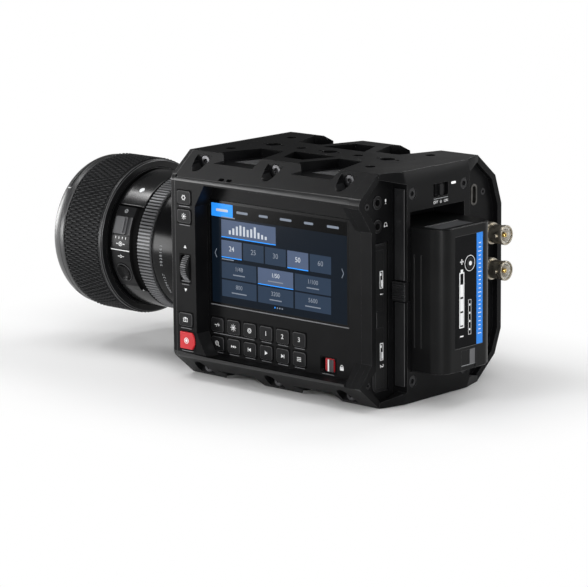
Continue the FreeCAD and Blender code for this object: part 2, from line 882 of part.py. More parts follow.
def mount_strip():
    # The steel strip with three located threads and two plain ones between them
    shape = prism_z(strip_outline(0), body_height - strip_thick, body_height)
    tools = []
    for k in range(-2, 3):
        y = k * thread_pitch_y
        located = k % 2 == 0
        tools.append(rod_z(body_height - strip_thick - 1, body_height + 1, 0, y,
                           tripod_thread_r if located else thread_r))
        if located:
            for s in (-1, 1):
                tools.append(rod_z(body_height - locator_deep, body_height + 1, 0, y + s * locator_out,
                                   locator_r))
    return shape.cut(Part.makeCompound(tools))


def grille(outline):
    # A louvred insert: slots across a plate
    floor = body_height - vent_deep
    shape = prism_z(inset(outline, grille_gap), floor - grille_sunk - grille_thick, floor - grille_sunk)
    xs = [x for x, y in outline]
    ys = [y for x, y in outline]
    count = int((max(ys) - min(ys)) / louvre_pitch)
    start = (max(ys) + min(ys)) / 2 - (count - 1) * louvre_pitch / 2
    field = prism_z(inset(outline, 0.9), floor - grille_sunk - grille_thick - 1, floor)
    slots = []
    for k in range(count):
        y = start + k * louvre_pitch
        slots.append(box(min(xs), max(xs), y - louvre_slot / 2, y + louvre_slot / 2,
                         floor - grille_sunk - grille_thick - 1, floor))
    return shape.cut(field.common(Part.makeCompound(slots)))


def vent_grilles():
    solids = []
    for outline in (grille_outline(-vent_centre_y), grille_outline(vent_centre_y),
                    inset(mid_vent_outline(), grille_margin)):
        solids += all_round(grille(outline))
    return Part.makeCompound(solids)


def cage_screws():
    solids = []
    for k in (-1, 0, 1):
        y = k * screw_pitch_y
        under = screw_seat_x - screw_head_thick
        head = rod_x(under, screw_seat_x, y, screw_z, screw_head_r)
        shank = rod_x(under - screw_shank_long, under, y, screw_z, screw_shank_r)
        socket = hexagon_rod_x(screw_seat_x - socket_deep, screw_seat_x + 1, y, screw_z, socket_r)
        solids += all_round(head.fuse(shank).cut(socket).removeSplitter())
    return Part.makeCompound(solids)


# Screen side

def screen_glass():
    x1 = recess_x - screen_sunk
    return box(x1 - screen_thick, x1, screen_y - screen_wide / 2, screen_y + screen_wide / 2,
               screen_z - screen_tall / 2, screen_z + screen_tall / 2)


def thumb_wheel():
    x = half - wheel_sunk
    wheel = rod_y(edge_key_y - wheel_thick / 2, edge_key_y + wheel_thick / 2, x, wheel_z, wheel_r)
    cuts = []
    for k in range(wheel_ribs):
        a = math.radians(360 * k / wheel_ribs)
        cuts.append(rod_y(edge_key_y - wheel_thick / 2 - 1, edge_key_y + wheel_thick / 2 + 1,
                          x + wheel_r * math.cos(a), wheel_z + wheel_r * math.sin(a), wheel_rib_deep))
    bore = rod_y(edge_key_y - wheel_thick, edge_key_y + wheel_thick, x, wheel_z, wheel_pin_r + pin_play)
    return wheel.cut(Part.makeCompound(cuts + [bore]))


def wheel_pin():
    x = half - wheel_sunk
    reach = wheel_slot_wide / 2 + 2.0
    return rod_y(edge_key_y - reach, edge_key_y + reach, x, wheel_z, wheel_pin_r)


def lock_slider():
    x0 = recess_x - lock_window_deep + 0.1
    y = lock_y + (lock_window_wide - lock_knob_wide) / 2 - slide_gap
    tall = lock_window_tall - 2 * slide_gap
    base = pad_x(x0, recess_x - 0.6, y, lock_z, lock_knob_wide, tall, 0.9)
    grip = pad_x(recess_x - 0.7, recess_x + lock_knob_proud, y + lock_knob_wide * 0.28, lock_z,
                 lock_knob_wide * 0.4, tall * 0.86, 0.6)
    return base.fuse(grip)


# Battery block

def battery_block():
    down, into = block_facet_down, block_facet_in
    column = [(y_panel, 0), (y_block - into, 0), (y_block, down), (y_block, body_height - down),
              (y_block - into, body_height), (y_panel, body_height)]
    shape = prism_x(column, -block_half, block_half)
    flare = block_flare()
    for piece in (flare, leftside(flare), upside(flare), upside(leftside(flare))):
        shape = shape.fuse(piece)
    grow = bay_wall
    shape = shape.fuse(box(bay_x - bay_wide / 2 - grow, bay_x + bay_wide / 2 + grow, y_bay - grow,
                           y_panel + 0.5, bay_bottom - grow, bay_top + grow))
    tools = [box(bay_x - bay_wide / 2, bay_x + bay_wide / 2, y_bay, y_block + 1, bay_bottom, bay_top)]
    tools.append(pad_y(y_block - power_window_deep, y_block + 1, power_window_x, power_window_z,
                       power_window_wide, power_window_tall, 0.6))
    tools.append(pad_y(y_block - led_deep, y_block + 1, led_x, led_z, led_wide + 0.1, led_tall + 0.1,
                       (led_tall + 0.1) * 0.49))
    for x, z in block_screws():
        tools.append(screw_hole_y(y_block, x, z, block_screw_r, screw_head_thick, 0.3))
    tools.append(release_room())
    return shape.cut(Part.makeCompound(tools)).removeSplitter()


def block_flare():
    # The crest spreads sideways from the block to the housing's bevels
    x0, x1 = block_half, half - edge_in
    down = block_facet_down
    near = [V(x0, y_rear, body_height - down), V(x0, y_block, body_height - down),
            V(x0, y_block - block_facet_in, body_height), V(x0, y_rear, body_height)]
    low = body_height - block_flare_thick
    far = [V(x1, y_rear, low), V(x1, y_rear + 0.3, low), V(x1, y_rear + 0.3, body_height),
           V(x1, y_rear, body_height)]
    wires = [Part.makePolygon(corners + [corners[0]]) for corners in (near, far)]
    return Part.makeLoft(wires, True, True)


def block_screws():
    return [(sx * block_screw_x, z) for sx in (-1, 1)
            for z in (block_screw_z, body_height - block_screw_z)]


def release_room():
    x1 = block_half + release_proud
    x0 = x1 - release_thick - release_travel - 0.1
    return box(max(x0, bay_x + bay_wide / 2 - 0.1), x1, y_panel + 0.6, y_block + 1,
               release_z - release_tall / 2 - slide_gap, release_z + release_tall / 2 + slide_gap)


def battery_release():
    x1 = block_half + release_proud
    x0 = x1 - release_thick
    shape = box(x0, x1, y_panel + 0.9, y_block - 0.2, release_z - release_tall / 2,
                release_z + release_tall / 2)
    pitch = release_tall / (release_ribs + 1)
    cuts = [box(x1 - 0.5, x1 + 1, y_panel, y_block + 1,
                release_z - release_tall / 2 + (k + 1) * pitch - pitch * 0.22,
                release_z - release_tall / 2 + (k + 1) * pitch + pitch * 0.22)
            for k in range(release_ribs)]
    return shape.cut(Part.makeCompound(cuts))


def power_slider():
    y0 = y_block - power_window_deep + 0.1
    tall = power_window_tall - 2 * slide_gap
    base = box(power_window_x - power_base_wide / 2, power_window_x + power_base_wide / 2, y0, y0 + 1.1,
               power_window_z - tall / 2, power_window_z + tall / 2)
    knob = pad_y(y0 + 1.0, y_block + power_knob_proud, power_window_x, power_window_z, power_knob_wide,
                 tall * 0.9, 0.6)
    return base.fuse(knob)


def status_light():
    return pad_y(y_block - led_deep, y_block + 0.1, led_x, led_z, led_wide, led_tall, led_tall * 0.49)


def battery_contacts():
    plate = box(bay_x - contact_wide / 2, bay_x + contact_wide / 2, y_bay, y_bay + contact_thick,
                contact_z - contact_tall / 2, contact_z + contact_tall / 2)
    gaps = [box(bay_x + (k - 1.5) * contact_wide / 4 - 0.5, bay_x + (k - 1.5) * contact_wide / 4 + 0.5,
                y_bay + 0.4, y_bay + 3, contact_z - contact_tall / 2 + 1, contact_z + contact_tall / 2 - 1)
            for k in range(4)]
    return plate.cut(Part.makeCompound(gaps))


def battery():
    y0 = y_bay + battery_back_gap
    y1 = y0 + battery_long
    z0 = bay_bottom + battery_floor_gap
    block = box(bay_x - battery_wide / 2, bay_x + battery_wide / 2, y0, y1, z0, z0 + battery_tall)
    rear = [e for e in block.Edges if e.BoundBox.ZLength > battery_tall * 0.9 and e.BoundBox.YMin > y1 - 1]
    block = block.makeFillet(battery_corner, rear)
    front = [e for e in block.Edges if e.BoundBox.ZLength > battery_tall * 0.9 and e.BoundBox.YMax < y0 + 1]
    block = block.makeFillet(1.5, front)
    rims = [e for e in block.Edges if e.BoundBox.ZLength < 0.01 and e.BoundBox.YMax > y0 + 2]
    block = block.makeChamfer(0.7, rims)
    tools = [box(label_right, label_left, y1 - label_sunk, y1 + 1, label_low, label_high)]
    tools.append(rod_y(y1 - check_button_deep - check_button_travel, y1 + 1, check_button_x,
                       check_button_z, check_button_r + 0.2))
    # shallow patch on top, two grooves down each side and the latch step at the foot
    tools.append(box(bay_x - patch_right, bay_x + patch_left, y1 - patch_from, y1 - patch_to,
                     battery_top - patch_sunk, battery_top + 1))
    for side in (-1, 1):
        x = bay_x + side * battery_wide / 2
        for k in range(2):
            y = y_block + groove_first + k * groove_pitch
            tools.append(box(x - 0.4, x + 0.4, y - 0.3, y + 0.3, z0 + groove_low, battery_top - groove_down))
    tools.append(box(latch_right, latch_left, y1 - 0.5, y1 + 1, z0 - 1, z0 + latch_tall))
    return block.cut(Part.makeCompound(tools))


def battery_check_button():
    y1 = y_bay + battery_back_gap + battery_long
    return rod_y(y1 - check_button_deep, y1 + check_button_proud, check_button_x, check_button_z,
                 check_button_r)


# Rear connectors

def audio_jacks():
    solids = []
    for z in (jack_upper_z, jack_lower_z):
        sleeve = rod_y(y_panel - jack_deep, y_panel + jack_proud, jack_x, z, jack_r)
        bore = rod_y(y_panel - jack_deep + 1.5, y_panel + jack_proud + 1, jack_x, z, jack_bore_r)
        solids.append(sleeve.cut(bore))
    return Part.makeCompound(solids)


def usb_port():
    collar = usb_collar
    outer = pad_y(y_panel - usb_deep, y_panel + 0.2, usb_x, usb_z, usb_wide + 2 * collar,
                  usb_tall + 2 * collar, (usb_wide + 2 * collar) * 0.48)
    well = pad_y(y_panel - usb_deep + 1, y_panel + 1, usb_x, usb_z, usb_wide - 0.5, usb_tall - 0.5,
                 (usb_wide - 0.5) * 0.48)
    tongue = box(usb_x - 0.35, usb_x + 0.35, y_panel - usb_deep + 0.9, y_panel - 0.8,
                 usb_z - usb_tall * 0.37, usb_z + usb_tall * 0.37)
    return outer.cut(well).fuse(tongue)


def bnc_socket(z):
    mouth = y_panel + bnc_long
    nut = rod_y(y_panel, y_panel + bnc_nut_thick, bnc_x, z, bnc_nut_r)
    neck = rod_y(y_panel - bnc_stub + 0.5, mouth - bnc_plain, bnc_x, z, bnc_neck_r)
    rim = rod_y(mouth - bnc_plain, mouth, bnc_x, z, bnc_r)
    bore = rod_y(mouth - bnc_floor, mouth + 1, bnc_x, z, bnc_bore_r)
    lug_y = mouth - bnc_lug_back
    lugs = rod_x(bnc_x - bnc_r - bnc_lug_proud, bnc_x + bnc_r + bnc_lug_proud, lug_y, z, bnc_lug_r)
    core = rod_y(mouth - bnc_floor - 0.5, mouth - bnc_core_back, bnc_x, z, bnc_core_r)
    return nut.fuse([neck, rim, lugs]).cut(bore).fuse(core).removeSplitter()


def bnc_sockets():
    return Part.makeCompound([bnc_socket(z) for z in (bnc_upper_z, bnc_lower_z)])


def power_socket():
    sleeve = rod_y(y_panel - power_in_deep, y_panel + 0.8, power_in_x, power_in_z, power_in_r)
    well = rod_y(y_panel - power_in_deep + 1.5, y_panel + 2, power_in_x, power_in_z, power_in_well_r)
    shape = sleeve.cut(well)
    for k in range(4):
        a = math.radians(45 + 90 * k)
        x = power_in_x + power_in_well_r * 0.5 * math.cos(a)
        z = power_in_z + power_in_well_r * 0.5 * math.sin(a)
        shape = shape.fuse(rod_y(y_panel - power_in_deep + 1, y_panel - 0.8, x, z, power_pin_r))
    return shape


def door_axis():
    r = (door_depth + door_proud) / 2
    return door_right + r, y_panel + door_proud - r, r


def door_shape(grow, y0, y1):
    # Square at the hinge side, rounded at the free corners
    block = box(door_right - grow, door_left + grow, y0, y1, door_low - grow, door_high + grow)
    along = [e for e in block.Edges if e.BoundBox.YLength > (y1 - y0) * 0.9]
    free = [e for e in along if e.BoundBox.XMin > door_right + 1]
    return block.makeFillet(door_corner + grow, free)


def door_hole():
    x, y, r = door_axis()
    well = door_shape(door_gap, y_panel - door_depth - door_gap, y_panel + 1)
    reach = door_pin_long + pin_play
    pin = rod_z(door_low - reach, door_high + reach, x, y, door_pin_r + pin_play)
    return well.fuse(pin)


def media_door():
    # The hinge side is rounded about its own axis, so that it turns within its own width
    x, y, r = door_axis()
    y1 = y_panel + door_proud
    shape = door_shape(0, y_panel - door_depth, y1)
    corner = box(door_right - 1, x, y - r - 1, y + r + 1, door_low - 1, door_high + 1)
    shape = shape.cut(corner.cut(rod_z(door_low - 1, door_high + 1, x, y, r)))
    tab = box(door_left - door_tab_wide, door_left + 1, y1 - 0.8, y1 + 1, door_tab_z - door_tab_tall / 2,
              door_tab_z + door_tab_tall / 2)
    pin = rod_z(door_low - door_pin_long, door_high + door_pin_long, x, y, door_pin_r)
    return shape.cut(tab).fuse(pin)


def slots_span():
    return door_right + 0.8, door_left - 1.5


def card_slots():
    y1 = y_panel - door_depth - door_gap
    x0, x1 = slots_span()
    shape = box(x0, x1, y1 - slots_long, y1, slots_low + 0.2, slots_high - 0.2)
    middle = (x0 + x1) / 2
    tall = (slots_high - slots_low) / 2
    cuts = []
    for k in range(2):
        z = slots_low + tall * (k + 0.5)
        reach, rise = (x1 - x0) * card_slot_share / 2, card_slot_tall / 2
        cuts.append(box(middle - reach, middle + reach, y1 - card_slot_deep, y1 + 1, z - rise, z + rise))
    return shape.cut(Part.makeCompound(cuts))


def rear_screws():
    solids = [screw_y(y_block, x, z, block_screw_r, screw_head_thick, 0.3) for x, z in block_screws()]
    solids += [screw_y(y_panel, x, z, frame_screw_r, frame_screw_thick, 0) for x, z in frame_screws()]
    return Part.makeCompound(solids)


# Inside the housing

def image_sensor():
    reach, rise = sensor_wide / 2, sensor_tall / 2
    package = box(-reach, reach, y_sensor - sensor_thick / 2, y_sensor + sensor_thick / 2,
                  lens_z - rise, lens_z + rise)
    reach, rise = reach - sensor_frame, rise - sensor_frame_tall
    window = box(-reach, reach, y_sensor - sensor_thick, y_sensor - 0.6, lens_z - rise, lens_z + rise)
    y0 = y_sensor + sensor_thick / 2
    board = box(-sensor_board_wide / 2, sensor_board_wide / 2, y0, y0 + board_thick,
                lens_z - sensor_board_tall / 2, lens_z + sensor_board_tall / 2)
    return package.cut(window).fuse(board)


def heat_sink():
    y0 = y_sensor + sensor_thick / 2 + board_thick
    shape = box(-sink_wide / 2, sink_wide / 2, y0, y0 + sink_base, lens_z - sink_tall / 2,
                lens_z + sink_tall / 2)
    pitch = (sink_wide - sink_fin_thick) / (sink_fins - 1)
    fins = [box(-sink_wide / 2 + k * pitch, -sink_wide / 2 + k * pitch + sink_fin_thick, y0 + sink_base,
                y0 + sink_deep, lens_z - sink_tall / 2, lens_z + sink_tall / 2) for k in range(sink_fins)]
    return shape.fuse(fins).removeSplitter()


def fan_place():
    return y_sensor + sensor_thick / 2 + board_thick + sink_deep


def fan_frame():
    y0 = fan_place()
    shape = box(-fan_size / 2, fan_size / 2, y0, y0 + fan_deep, lens_z - fan_size / 2, lens_z + fan_size / 2)
    tunnel = rod_y(y0 - 1, y0 + fan_deep + 1, 0, lens_z, fan_size / 2 - fan_wall)
    shape = shape.cut(tunnel)
    arms = [box(-fan_size / 2 + 0.5, fan_size / 2 - 0.5, y0, y0 + 1.2, lens_z - 1.5, lens_z + 1.5),
            box(-1.5, 1.5, y0, y0 + 1.2, lens_z - fan_size / 2 + 0.5, lens_z + fan_size / 2 - 0.5)]
    hub = rod_y(y0, y0 + 1.2, 0, lens_z, fan_hub_r)
    shaft = rod_y(y0, y0 + fan_deep - 1, 0, lens_z, fan_shaft_r)
    return shape.fuse(arms + [hub, shaft]).removeSplitter()


def fan_rotor():
    y0 = fan_place() + 1.6
    y1 = fan_place() + fan_deep - 0.6
    hub = rod_y(y0, y1, 0, lens_z, fan_hub_r)
    shape = hub
    for k in range(fan_blades):
        blade = box(fan_hub_r - 1, fan_blade_r, (y0 + y1) / 2 - 0.5, (y0 + y1) / 2 + 0.5, -4.2, 4.2)
        blade.rotate(V(0, (y0 + y1) / 2, 0), V(1, 0, 0), 38)
        blade.translate(V(0, 0, lens_z))
        shape = shape.fuse(about_lens(blade, 360 * k / fan_blades))
    bore = rod_y(y0 - 1, fan_place() + fan_deep - 0.9, 0, lens_z, fan_shaft_r + pin_play)
    return shape.cut(bore).removeSplitter()


def main_board():
    x1 = cavity_x - board_stand
    shape = box(x1 - board_thick, x1, board_front, board_rear, board_low, board_high)
    for y in (board_front + board_post_in, board_rear - board_post_in):
        for z in (board_low + board_post_in, board_high - board_post_in):
            shape = shape.fuse(rod_x(x1 - 0.5, cavity_x, y, z, post_r * 0.8))
    middle = (board_front + board_rear) / 2
    y = middle + chip_small
    for z, size in (((board_low + board_high) / 2, chip_large), (board_low + chip_small * 1.3, chip_small),
                    (board_high - chip_small * 1.3, chip_small)):
        reach = size / 2
        shape = shape.fuse(box(x1 - board_thick - chip_thick, x1 - board_thick + 0.2, y - reach, y + reach,
                               z - reach, z + reach))
    return shape.removeSplitter()


# Lens mount

def tab_places():
    return [90, 210, 330]


def lens_mount_ring():
    back = mount_thick
    profile = [(mount_bore_r, 0), (mount_r, 0), (mount_r, seat_lip - back),
               (mount_bore_r + 1.1, seat_lip - back),
               (mount_bore_r + 1.1, -back), (mount_bore_r, -back)]
    shape = turned(profile)
    tabs = [sector(mount_tab_r, mount_bore_r + 0.4, 0, -mount_tab_thick, mount_tab_deg, a)
            for a in tab_places()]
    shape = shape.fuse(tabs)
    holes = [about_lens(rod_y(flange_y - 0.1, flange_y + 1.0, mount_screw_r, lens_z, 1.1), 45 + 90 * k)
             for k in range(4)]
    return shape.cut(Part.makeCompound(holes)).removeSplitter()


def lens_release_button():
    return rod_y(y_front - lens_button_proud, y_plate - 0.2, lens_button_x, lens_button_z, release_button_r)


# Lens

def lens_bayonet():
    # The steel foot of the lens: flange face, tube and three lugs behind the mount's tabs
    profile = [(bayonet_r - 1.5, lens_foot_long), (lens_foot_r, lens_foot_long), (lens_foot_r, 0.0),
               (bayonet_r, 0.0), (bayonet_r, -bayonet_long), (bayonet_r - 1.5, -bayonet_long)]
    shape = turned(profile)
    front = -(mount_tab_thick + 0.3)
    lugs = [sector(bayonet_r - 0.4, lug_r, front, front - lug_thick, lug_deg, a) for a in tab_places()]
    return shape.fuse(lugs).removeSplitter()


def panel_middle():
    start = aperture_from + aperture_wide + 2 * ring_gap + groove_wide
    return start + panel_wide / 2 + panel_middle_shift


def lens_barrel():
    foot = lens_foot_long
    a0, a1 = aperture_from, aperture_from + aperture_wide + 2 * ring_gap
    p0 = a1 + groove_wide
    p1 = p0 + panel_wide
    f0, f1 = focus_from, focus_from + focus_wide
    seat_a = aperture_r - 2.8
    seat_f = focus_r - focus_grip_thick - focus_ring_thick - ring_gap
    groove_r = panel_r - 1.6
    wall = lens_wall
    end = f1 + ring_gap
    profile = [(lens_foot_r - wall, foot), (lens_foot_r, foot), (lens_foot_r + 1.2, foot + 1.5),
               (lens_rear_r - 0.3, foot + lens_flare_long), (lens_rear_r, foot + lens_flare_end),
               (lens_rear_r, a0), (seat_a, a0),
               (seat_a, a1), (groove_r, a1), (groove_r, p0), (panel_r, p0), (panel_r, p1),
               (groove_r, p1 + 0.6), (groove_r, f0 - ring_gap), (seat_f, f0 - ring_gap),
               (seat_f, end), (seat_f - wall, end), (seat_f - wall, a1 + 3), (seat_a - wall, a1 - 2),
               (seat_a - wall, foot + lens_flare_long - 1), (lens_foot_r - wall, foot + lens_step)]
    shape = turned(profile)
    slot_tall = slot_top_deg - slot_low_deg
    slot = sector(panel_r - slot_deep, panel_r + 1, p0 - 0.1, p0 + slot_wide, slot_tall,
                  (slot_top_deg + slot_low_deg) / 2)
    head = sector(panel_r - slot_deep, panel_r + 1, p0, p1 + 1, slot_top_tall_deg,
                  slot_top_deg - slot_top_tall_deg / 2)
    middle = panel_middle()
    window = pad_x(panel_r - switch_window_deep, panel_r + 3, flange_y - middle, lens_z, switch_window_long,
                   switch_window_tall, 0.8)
    dish = rod_x(panel_r - focus_button_deep - focus_button_travel - 0.2, panel_r + 3, flange_y - middle,
                 lens_z, focus_button_r + key_gap)
    cuts = [slot, head, about_lens(window, switch_deg), about_lens(dish, focus_button_deg)]
    return shape.cut(Part.makeCompound(cuts)).removeSplitter()


def focus_ring():
    f0, f1 = focus_from, focus_from + focus_wide
    inner = focus_r - focus_grip_thick - focus_ring_thick
    core = focus_r - focus_grip_thick
    lip = focus_lip
    profile = [(inner, f0), (focus_lip_r - 0.6, f0), (focus_lip_r, f0 + 0.6), (focus_lip_r, f0 + lip),
               (core, f0 + lip), (core, f1 - 0.6), (inner, f1 - 0.6)]
    return turned(profile)


def focus_grip():
    f0, f1 = focus_from + focus_lip, focus_from + focus_wide - 0.6
    core = focus_r - focus_grip_thick
    shape = turned([(core, f0), (focus_r, f0), (focus_r, f1), (core, f1)])
    cuts = []
    for k in range(focus_ribs):
        groove = Part.makeBox(focus_rib_deep * 2, f1 - f0 - 1.6, 1.5,
                              V(focus_r - focus_rib_deep, flange_y - f1 + 0.8, lens_z - 0.75))
        cuts.append(about_lens(groove, 360 * k / focus_ribs))
    return shape.cut(Part.makeCompound(cuts))


def aperture_ring():
    a0, a1 = aperture_from + ring_gap, aperture_from + ring_gap + aperture_wide
    inner = aperture_r - 2.5
    shape = turned([(inner, a0), (aperture_r - 0.5, a0), (aperture_r, a0 + 0.8), (aperture_r, a1 - 0.8),
                    (aperture_r - 0.5, a1), (inner, a1)])
    cuts = []
    for k in range(aperture_ribs):
        groove = Part.makeBox(aperture_rib_deep * 2, a1 - a0 + 2, 1.5,
                              V(aperture_r - aperture_rib_deep, flange_y - a1 - 1, lens_z - 0.75))
        cuts.append(about_lens(groove, 360 * k / aperture_ribs))
    return shape.cut(Part.makeCompound(cuts))


def lens_front_ring():
    start = focus_from + focus_wide + ring_gap
    end = lens_long
    seat_f = focus_r - focus_grip_thick - focus_ring_thick - ring_gap
    inner = seat_f - lens_wall
    rim = front_rim_r
    round_from = start + front_flat
    profile = [(inner, start), (focus_r, start), (focus_r - 0.1, round_from),
               (focus_r - 0.7, round_from + lens_step),
               (rim + 1.1, end - 1.6), (rim + 0.6, end - 0.6), (rim, end), (filter_r, end),
               (filter_r, end - filter_deep),
               (inner, end - filter_deep - 2.2)]
    return turned(profile)


def turned_glass(r, flat_at, edge_at, crown_at):
    # A lens element with one flat side and one domed side, turned from its half outline
    a, b = V(0, flange_y - flat_at, lens_z), V(r, flange_y - flat_at, lens_z)
    c, d = V(r, flange_y - edge_at, lens_z), V(0, flange_y - crown_at, lens_z)
    sag = crown_at - edge_at
    bend = (r * r + sag * sag) / (2 * sag)
    part_way = math.asin(r / abs(bend)) / 2
    side = 1 if sag > 0 else -1
    e = V(abs(bend) * math.sin(part_way), flange_y - crown_at + side * abs(bend) * (1 - math.cos(part_way)),
          lens_z)
    edges = [Part.makeLine(a, b), Part.makeLine(b, c), Part.Arc(c, e, d).toShape(), Part.makeLine(d, a)]
    return Part.Face(Part.Wire(edges)).revolve(V(0, 0, lens_z), V(0, 1, 0), 360)


def front_glass():
    seat = focus_r - focus_grip_thick - focus_ring_thick - ring_gap - lens_wall
    back = focus_from + focus_wide - 2.0
    return turned_glass(seat, back, back + front_glass_edge, back + front_glass_thick)


def rear_glass():
    front = lens_foot_long - 0.5
    back = front - rear_glass_thick
    return turned_glass(bayonet_r - 1.5, front, back + 1.5, back)


def af_switch():
    middle = panel_middle()
    y = flange_y - middle - (switch_window_long - switch_knob_long) / 2 + slide_gap
    tall = switch_window_tall - 2 * slide_gap
    base = pad_x(panel_r - switch_window_deep + 0.1, panel_r - 0.1, y, lens_z, switch_knob_long, tall, 0.6)
    ridge = pad_x(panel_r - 0.5, panel_r + 0.7, y + switch_knob_long * 0.3, lens_z, 1.2, tall * 0.9, 0.4)
    return about_lens(base.fuse(ridge), switch_deg)


def focus_button():
    middle = panel_middle()
    cap = rod_x(panel_r - focus_button_deep, panel_r + focus_button_proud, flange_y - middle, lens_z,
                focus_button_r)
    return about_lens(cap, focus_button_deg)


# Build and write every piece

parts["body_shell"] = body_shell()
parts["front_plate"] = front_plate()
parts["rear_frame"] = rear_frame()
parts["side_plate"] = side_plate()
parts["top_mount_strip"] = mount_strip()
parts["bottom_mount_strip"] = upside(mount_strip())
parts["vent_grilles"] = vent_grilles()
parts["cage_screws"] = cage_screws()
parts["screen_glass"] = screen_glass()
for name, y, z in pad_keys():
    parts[name] = key_shape(recess_x, y, z, key_wide, key_tall, 0, key_deep, key_proud)
for name, z in edge_keys():
    parts[name] = key_shape(half, edge_key_y, z, edge_key_wide, edge_key_tall, 0, key_deep, key_proud)
parts["record_key"] = record_key_shape(0, key_deep, key_proud)
parts["thumb_wheel"] = thumb_wheel()
parts["wheel_pin"] = wheel_pin()
parts["lock_slider"] = lock_slider()
parts["battery_block"] = battery_block()
parts["battery_release"] = battery_release()
parts["power_slider"] = power_slider()
parts["status_light"] = status_light()
parts["battery_contacts"] = battery_contacts()
parts["battery"] = battery()
parts["battery_check_button"] = battery_check_button()
parts["audio_jacks"] = audio_jacks()
parts["usb_port"] = usb_port()
parts["bnc_sockets"] = bnc_sockets()
parts["power_socket"] = power_socket()
parts["media_door"] = media_door()
parts["card_slots"] = card_slots()
parts["rear_screws"] = rear_screws()
parts["image_sensor"] = image_sensor()
parts["heat_sink"] = heat_sink()
parts["fan_frame"] = fan_frame()
parts["fan_rotor"] = fan_rotor()
parts["main_board"] = main_board()
parts["lens_mount_ring"] = lens_mount_ring()
parts["lens_release_button"] = lens_release_button()
parts["lens_bayonet"] = lens_bayonet()
parts["lens_barrel"] = lens_barrel()
parts["focus_ring"] = focus_ring()
parts["focus_grip"] = focus_grip()
parts["aperture_ring"] = aperture_ring()
parts["lens_front_ring"] = lens_front_ring()
parts["front_glass"] = front_glass()
parts["rear_glass"] = rear_glass()
parts["af_switch"] = af_switch()
parts["focus_button"] = focus_button()

for name, shape in parts.items():
    shape.exportStep("parts/" + name + ".step")
    print(name, "solids", len(shape.Solids), "valid", shape.isValid(), "volume", round(shape.Volume, 1))
print("pieces", len(parts))
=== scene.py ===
import bpy
import json
import math
from mathutils import Matrix, Vector

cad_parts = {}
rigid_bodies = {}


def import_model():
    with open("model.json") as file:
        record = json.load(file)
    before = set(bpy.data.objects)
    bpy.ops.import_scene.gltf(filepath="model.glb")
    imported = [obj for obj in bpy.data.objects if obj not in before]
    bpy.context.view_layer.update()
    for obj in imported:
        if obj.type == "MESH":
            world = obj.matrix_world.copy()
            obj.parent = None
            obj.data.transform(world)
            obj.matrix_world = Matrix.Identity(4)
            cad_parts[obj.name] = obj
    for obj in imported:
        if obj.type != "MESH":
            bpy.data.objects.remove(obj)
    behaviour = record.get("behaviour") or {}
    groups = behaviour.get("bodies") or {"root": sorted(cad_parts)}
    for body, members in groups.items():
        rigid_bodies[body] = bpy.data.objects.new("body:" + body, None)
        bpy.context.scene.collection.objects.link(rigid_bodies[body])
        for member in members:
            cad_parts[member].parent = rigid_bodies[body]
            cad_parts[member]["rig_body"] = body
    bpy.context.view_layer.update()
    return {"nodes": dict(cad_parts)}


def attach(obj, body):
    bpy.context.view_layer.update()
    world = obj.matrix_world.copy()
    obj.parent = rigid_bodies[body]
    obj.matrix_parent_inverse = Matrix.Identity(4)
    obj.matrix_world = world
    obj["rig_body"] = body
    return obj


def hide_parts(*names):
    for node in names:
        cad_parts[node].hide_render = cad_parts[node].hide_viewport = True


# Cinema camera with prime lens and battery. Metres, +Z up, lens along -Y, screen side +X.
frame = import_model()
nodes = frame["nodes"]
mm = 0.001
scene = bpy.context.scene
print("frame loaded", len(nodes), "nodes")


def deselectAll():
    if bpy.context.object and bpy.context.object.mode != "OBJECT":
        bpy.ops.object.mode_set(mode="OBJECT")
    bpy.ops.object.select_all(action="DESELECT")


def pick(obj):
    deselectAll()
    obj.select_set(True)
    bpy.context.view_layer.objects.active = obj


def editMode(obj, mode="FACE"):
    pick(obj)
    bpy.ops.object.mode_set(mode="EDIT")
    bpy.ops.mesh.select_mode(type=mode)
    bpy.ops.mesh.select_all(action="SELECT")


def objectMode():
    bpy.ops.object.mode_set(mode="OBJECT")


def unselected(obj, mode):
    # back in object mode with nothing selected in the mesh
    editMode(obj, mode)
    bpy.ops.mesh.select_all(action="DESELECT")
    objectMode()


def weldAll(near=0.000002):
    # in edit mode: corners closer than this become one
    bpy.ops.mesh.select_all(action="SELECT")
    bpy.ops.mesh.remove_doubles(threshold=near)


def settle(obj):
    # puts the object's place into its mesh
    pick(obj)
    bpy.ops.object.transform_apply(location=True, rotation=True, scale=True)
    return obj


def applyAll(obj):
    pick(obj)
    for m in list(obj.modifiers):
        bpy.ops.object.modifier_apply(modifier=m.name)


def joined(objs, name):
    deselectAll()
    for o in objs:
        o.select_set(True)
    bpy.context.view_layer.objects.active = objs[0]
    if len(objs) > 1:
        bpy.ops.object.join()
    objs[0].name = name
    return objs[0]


def smoothed(obj, degrees):
    pick(obj)
    bpy.ops.object.shade_smooth_by_angle(angle=math.radians(degrees))


def fitted(obj, body, slot, *materials):
    # what a new piece is made of and rides on
    for material in materials:
        obj.data.materials.append(material)
    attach(obj, body)


def shaded(obj, degrees=32):
    # smooth round the bevels, flat on the large faces
    smoothed(obj, degrees)
    level = obj.modifiers.new("level", "WEIGHTED_NORMAL")
    level.keep_sharp = True
    bpy.ops.object.modifier_apply(modifier="level")


# Materials

def newMaterial(name):
    m = bpy.data.materials.new(name)
    m.use_nodes = True
    return m, m.node_tree, m.node_tree.nodes["Principled BSDF"]


def setInputs(node, values):
    for name, value in values.items():
        node.inputs[name].default_value = value


def objectCoords(tree):
    return tree.nodes.new("ShaderNodeTexCoord").outputs["Object"]


